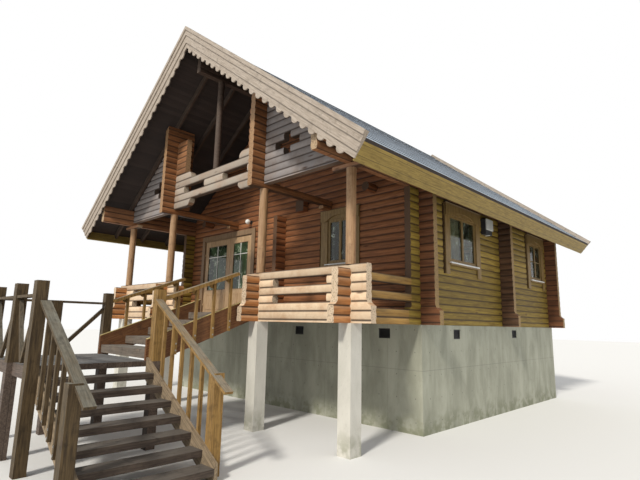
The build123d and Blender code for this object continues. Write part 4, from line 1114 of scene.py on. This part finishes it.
def makeRailBrackets(s):
    # Rounded brackets between the balusters and the upper handrails.
    bm = bmesh.new()
    leaning = math.atan(s["rake"])
    for x in s["railX"]:
        for baluster in s["upperBalusters"]:
            y = baluster - s["halfBaluster"]
            level = s["railLevel"] + s["rake"] * (y - s["railAt"]) - s["railDrop"]
            corner = Vector((x - s["bracketThick"] / 2, y, level))
            way = Vector((0, -math.cos(leaning), -math.sin(leaning)))
            ends = [bm.verts.new(corner + way * reach) for reach in s["bracket"]]
            bmesh.ops.spin(
                bm, geom=[*ends, bm.edges.new(ends)], cent=corner, axis=(1, 0, 0),
                angle=math.pi / 2 - leaning, steps=8, dvec=(0, 0, 0))
    bmesh.ops.solidify(bm, geom=bm.faces[:], thickness=s["bracketThick"])
    addPiece("railBrackets", bm, "upperRails")


makeDoor(door)
for values in windows["places"]:
    makeWindow(windows, *values)
print("doors and windows made")
makeVents(vent)
makeLamp(lamp)
makeMeter(meter)
makeRoofEdges(roofEdges)
makeStringStrips(stairs)
makeStairBolts(stairs)
makeRailBrackets(stairs)
print("vents, lamp, meter, roof edges and stair parts made")


def makeStage(size, colour):
    bm = bmesh.new()
    bmesh.ops.create_grid(bm, x_segments=1, y_segments=1, size=size)
    mesh = bpy.data.meshes.new("floor")
    bm.to_mesh(mesh)
    bm.free()
    floor = bpy.data.objects.new("floor", mesh)
    bpy.context.collection.objects.link(floor)
    material, shader, _, _ = newMaterial("floorPaper", 0.9)
    feed(colour, shader.inputs["Base Color"])
    mesh.materials.append(material)


def makeLights(light):
    sun = bpy.data.lights.new("sun", "SUN")
    sun.energy = light["sun"]
    sun.angle = math.radians(light["softness"])
    sun.color = light["sunColour"]
    sunlight = bpy.data.objects.new("sun", sun)
    bpy.context.collection.objects.link(sunlight)
    sunlight.rotation_euler = Vector(light["from"]).to_track_quat("Z", "Y").to_euler()
    world = bpy.data.worlds.new("studio")
    bpy.context.scene.world = world
    world.use_nodes = True
    work["tree"] = world.node_tree
    plain = world.node_tree.nodes["Background"]
    seen = addNode("ShaderNodeBackground")
    for node, colour, strength in ((plain, light["skyColour"], light["sky"]), (seen, (1, 1, 1), 1.0)):
        feed(colour, node.inputs["Color"])
        node.inputs["Strength"].default_value = strength
    # What the camera sees directly, through glass or mirrored is plain white.
    rays = addNode("ShaderNodeLightPath").outputs
    pick = larger(rays["Is Camera Ray"], rays["Is Transmission Ray"])
    pick = larger(pick, rays["Is Glossy Ray"])
    mix = addNode("ShaderNodeMixShader")
    for value, socket in zip((pick, plain.outputs[0], seen.outputs[0]), mix.inputs):
        feed(value, socket)
    feed(mix.outputs[0], world.node_tree.nodes["World Output"].inputs[0])


def makeCamera(shot):
    yaw, tilt, roll = shot["yaw"], shot["tilt"], shot["roll"]
    ahead = Vector((math.sin(yaw) * math.cos(tilt), math.cos(yaw) * math.cos(tilt), math.sin(tilt)))
    level = Vector((math.cos(yaw), -math.sin(yaw), 0))
    upwards = level.cross(ahead)
    right = level * math.cos(roll) + upwards * math.sin(roll)
    turn = Matrix((right, right.cross(ahead), -ahead)).transposed().to_4x4()
    camera = bpy.data.objects.new("camera", bpy.data.cameras.new("camera"))
    bpy.context.collection.objects.link(camera)
    camera.matrix_world = Matrix.Translation(shot["at"]) @ turn
    camera.data.sensor_width = shot["sensor"]
    camera.data.lens = shot["lens"]
    camera.data.clip_end = shot["reach"]
    bpy.context.scene.camera = camera


makeStage(90, (0.76, 0.76, 0.75))
makeLights({
    "sun": 2.9, "softness": 7, "sunColour": (1.0, 0.95, 0.86), "from": (0.25, -0.85, 0.75), "sky": 0.66,
    "skyColour": (0.98, 0.99, 1.0),
})
makeCamera({
    "at": (9.645, -8.336, 2.111), "yaw": -0.7711, "tilt": 0.1788, "roll": 0.0208, "lens": 26.026,
    "sensor": 36, "reach": 400,
})
bpy.context.scene.view_settings.view_transform = "Standard"
print("stage, lights and camera made")
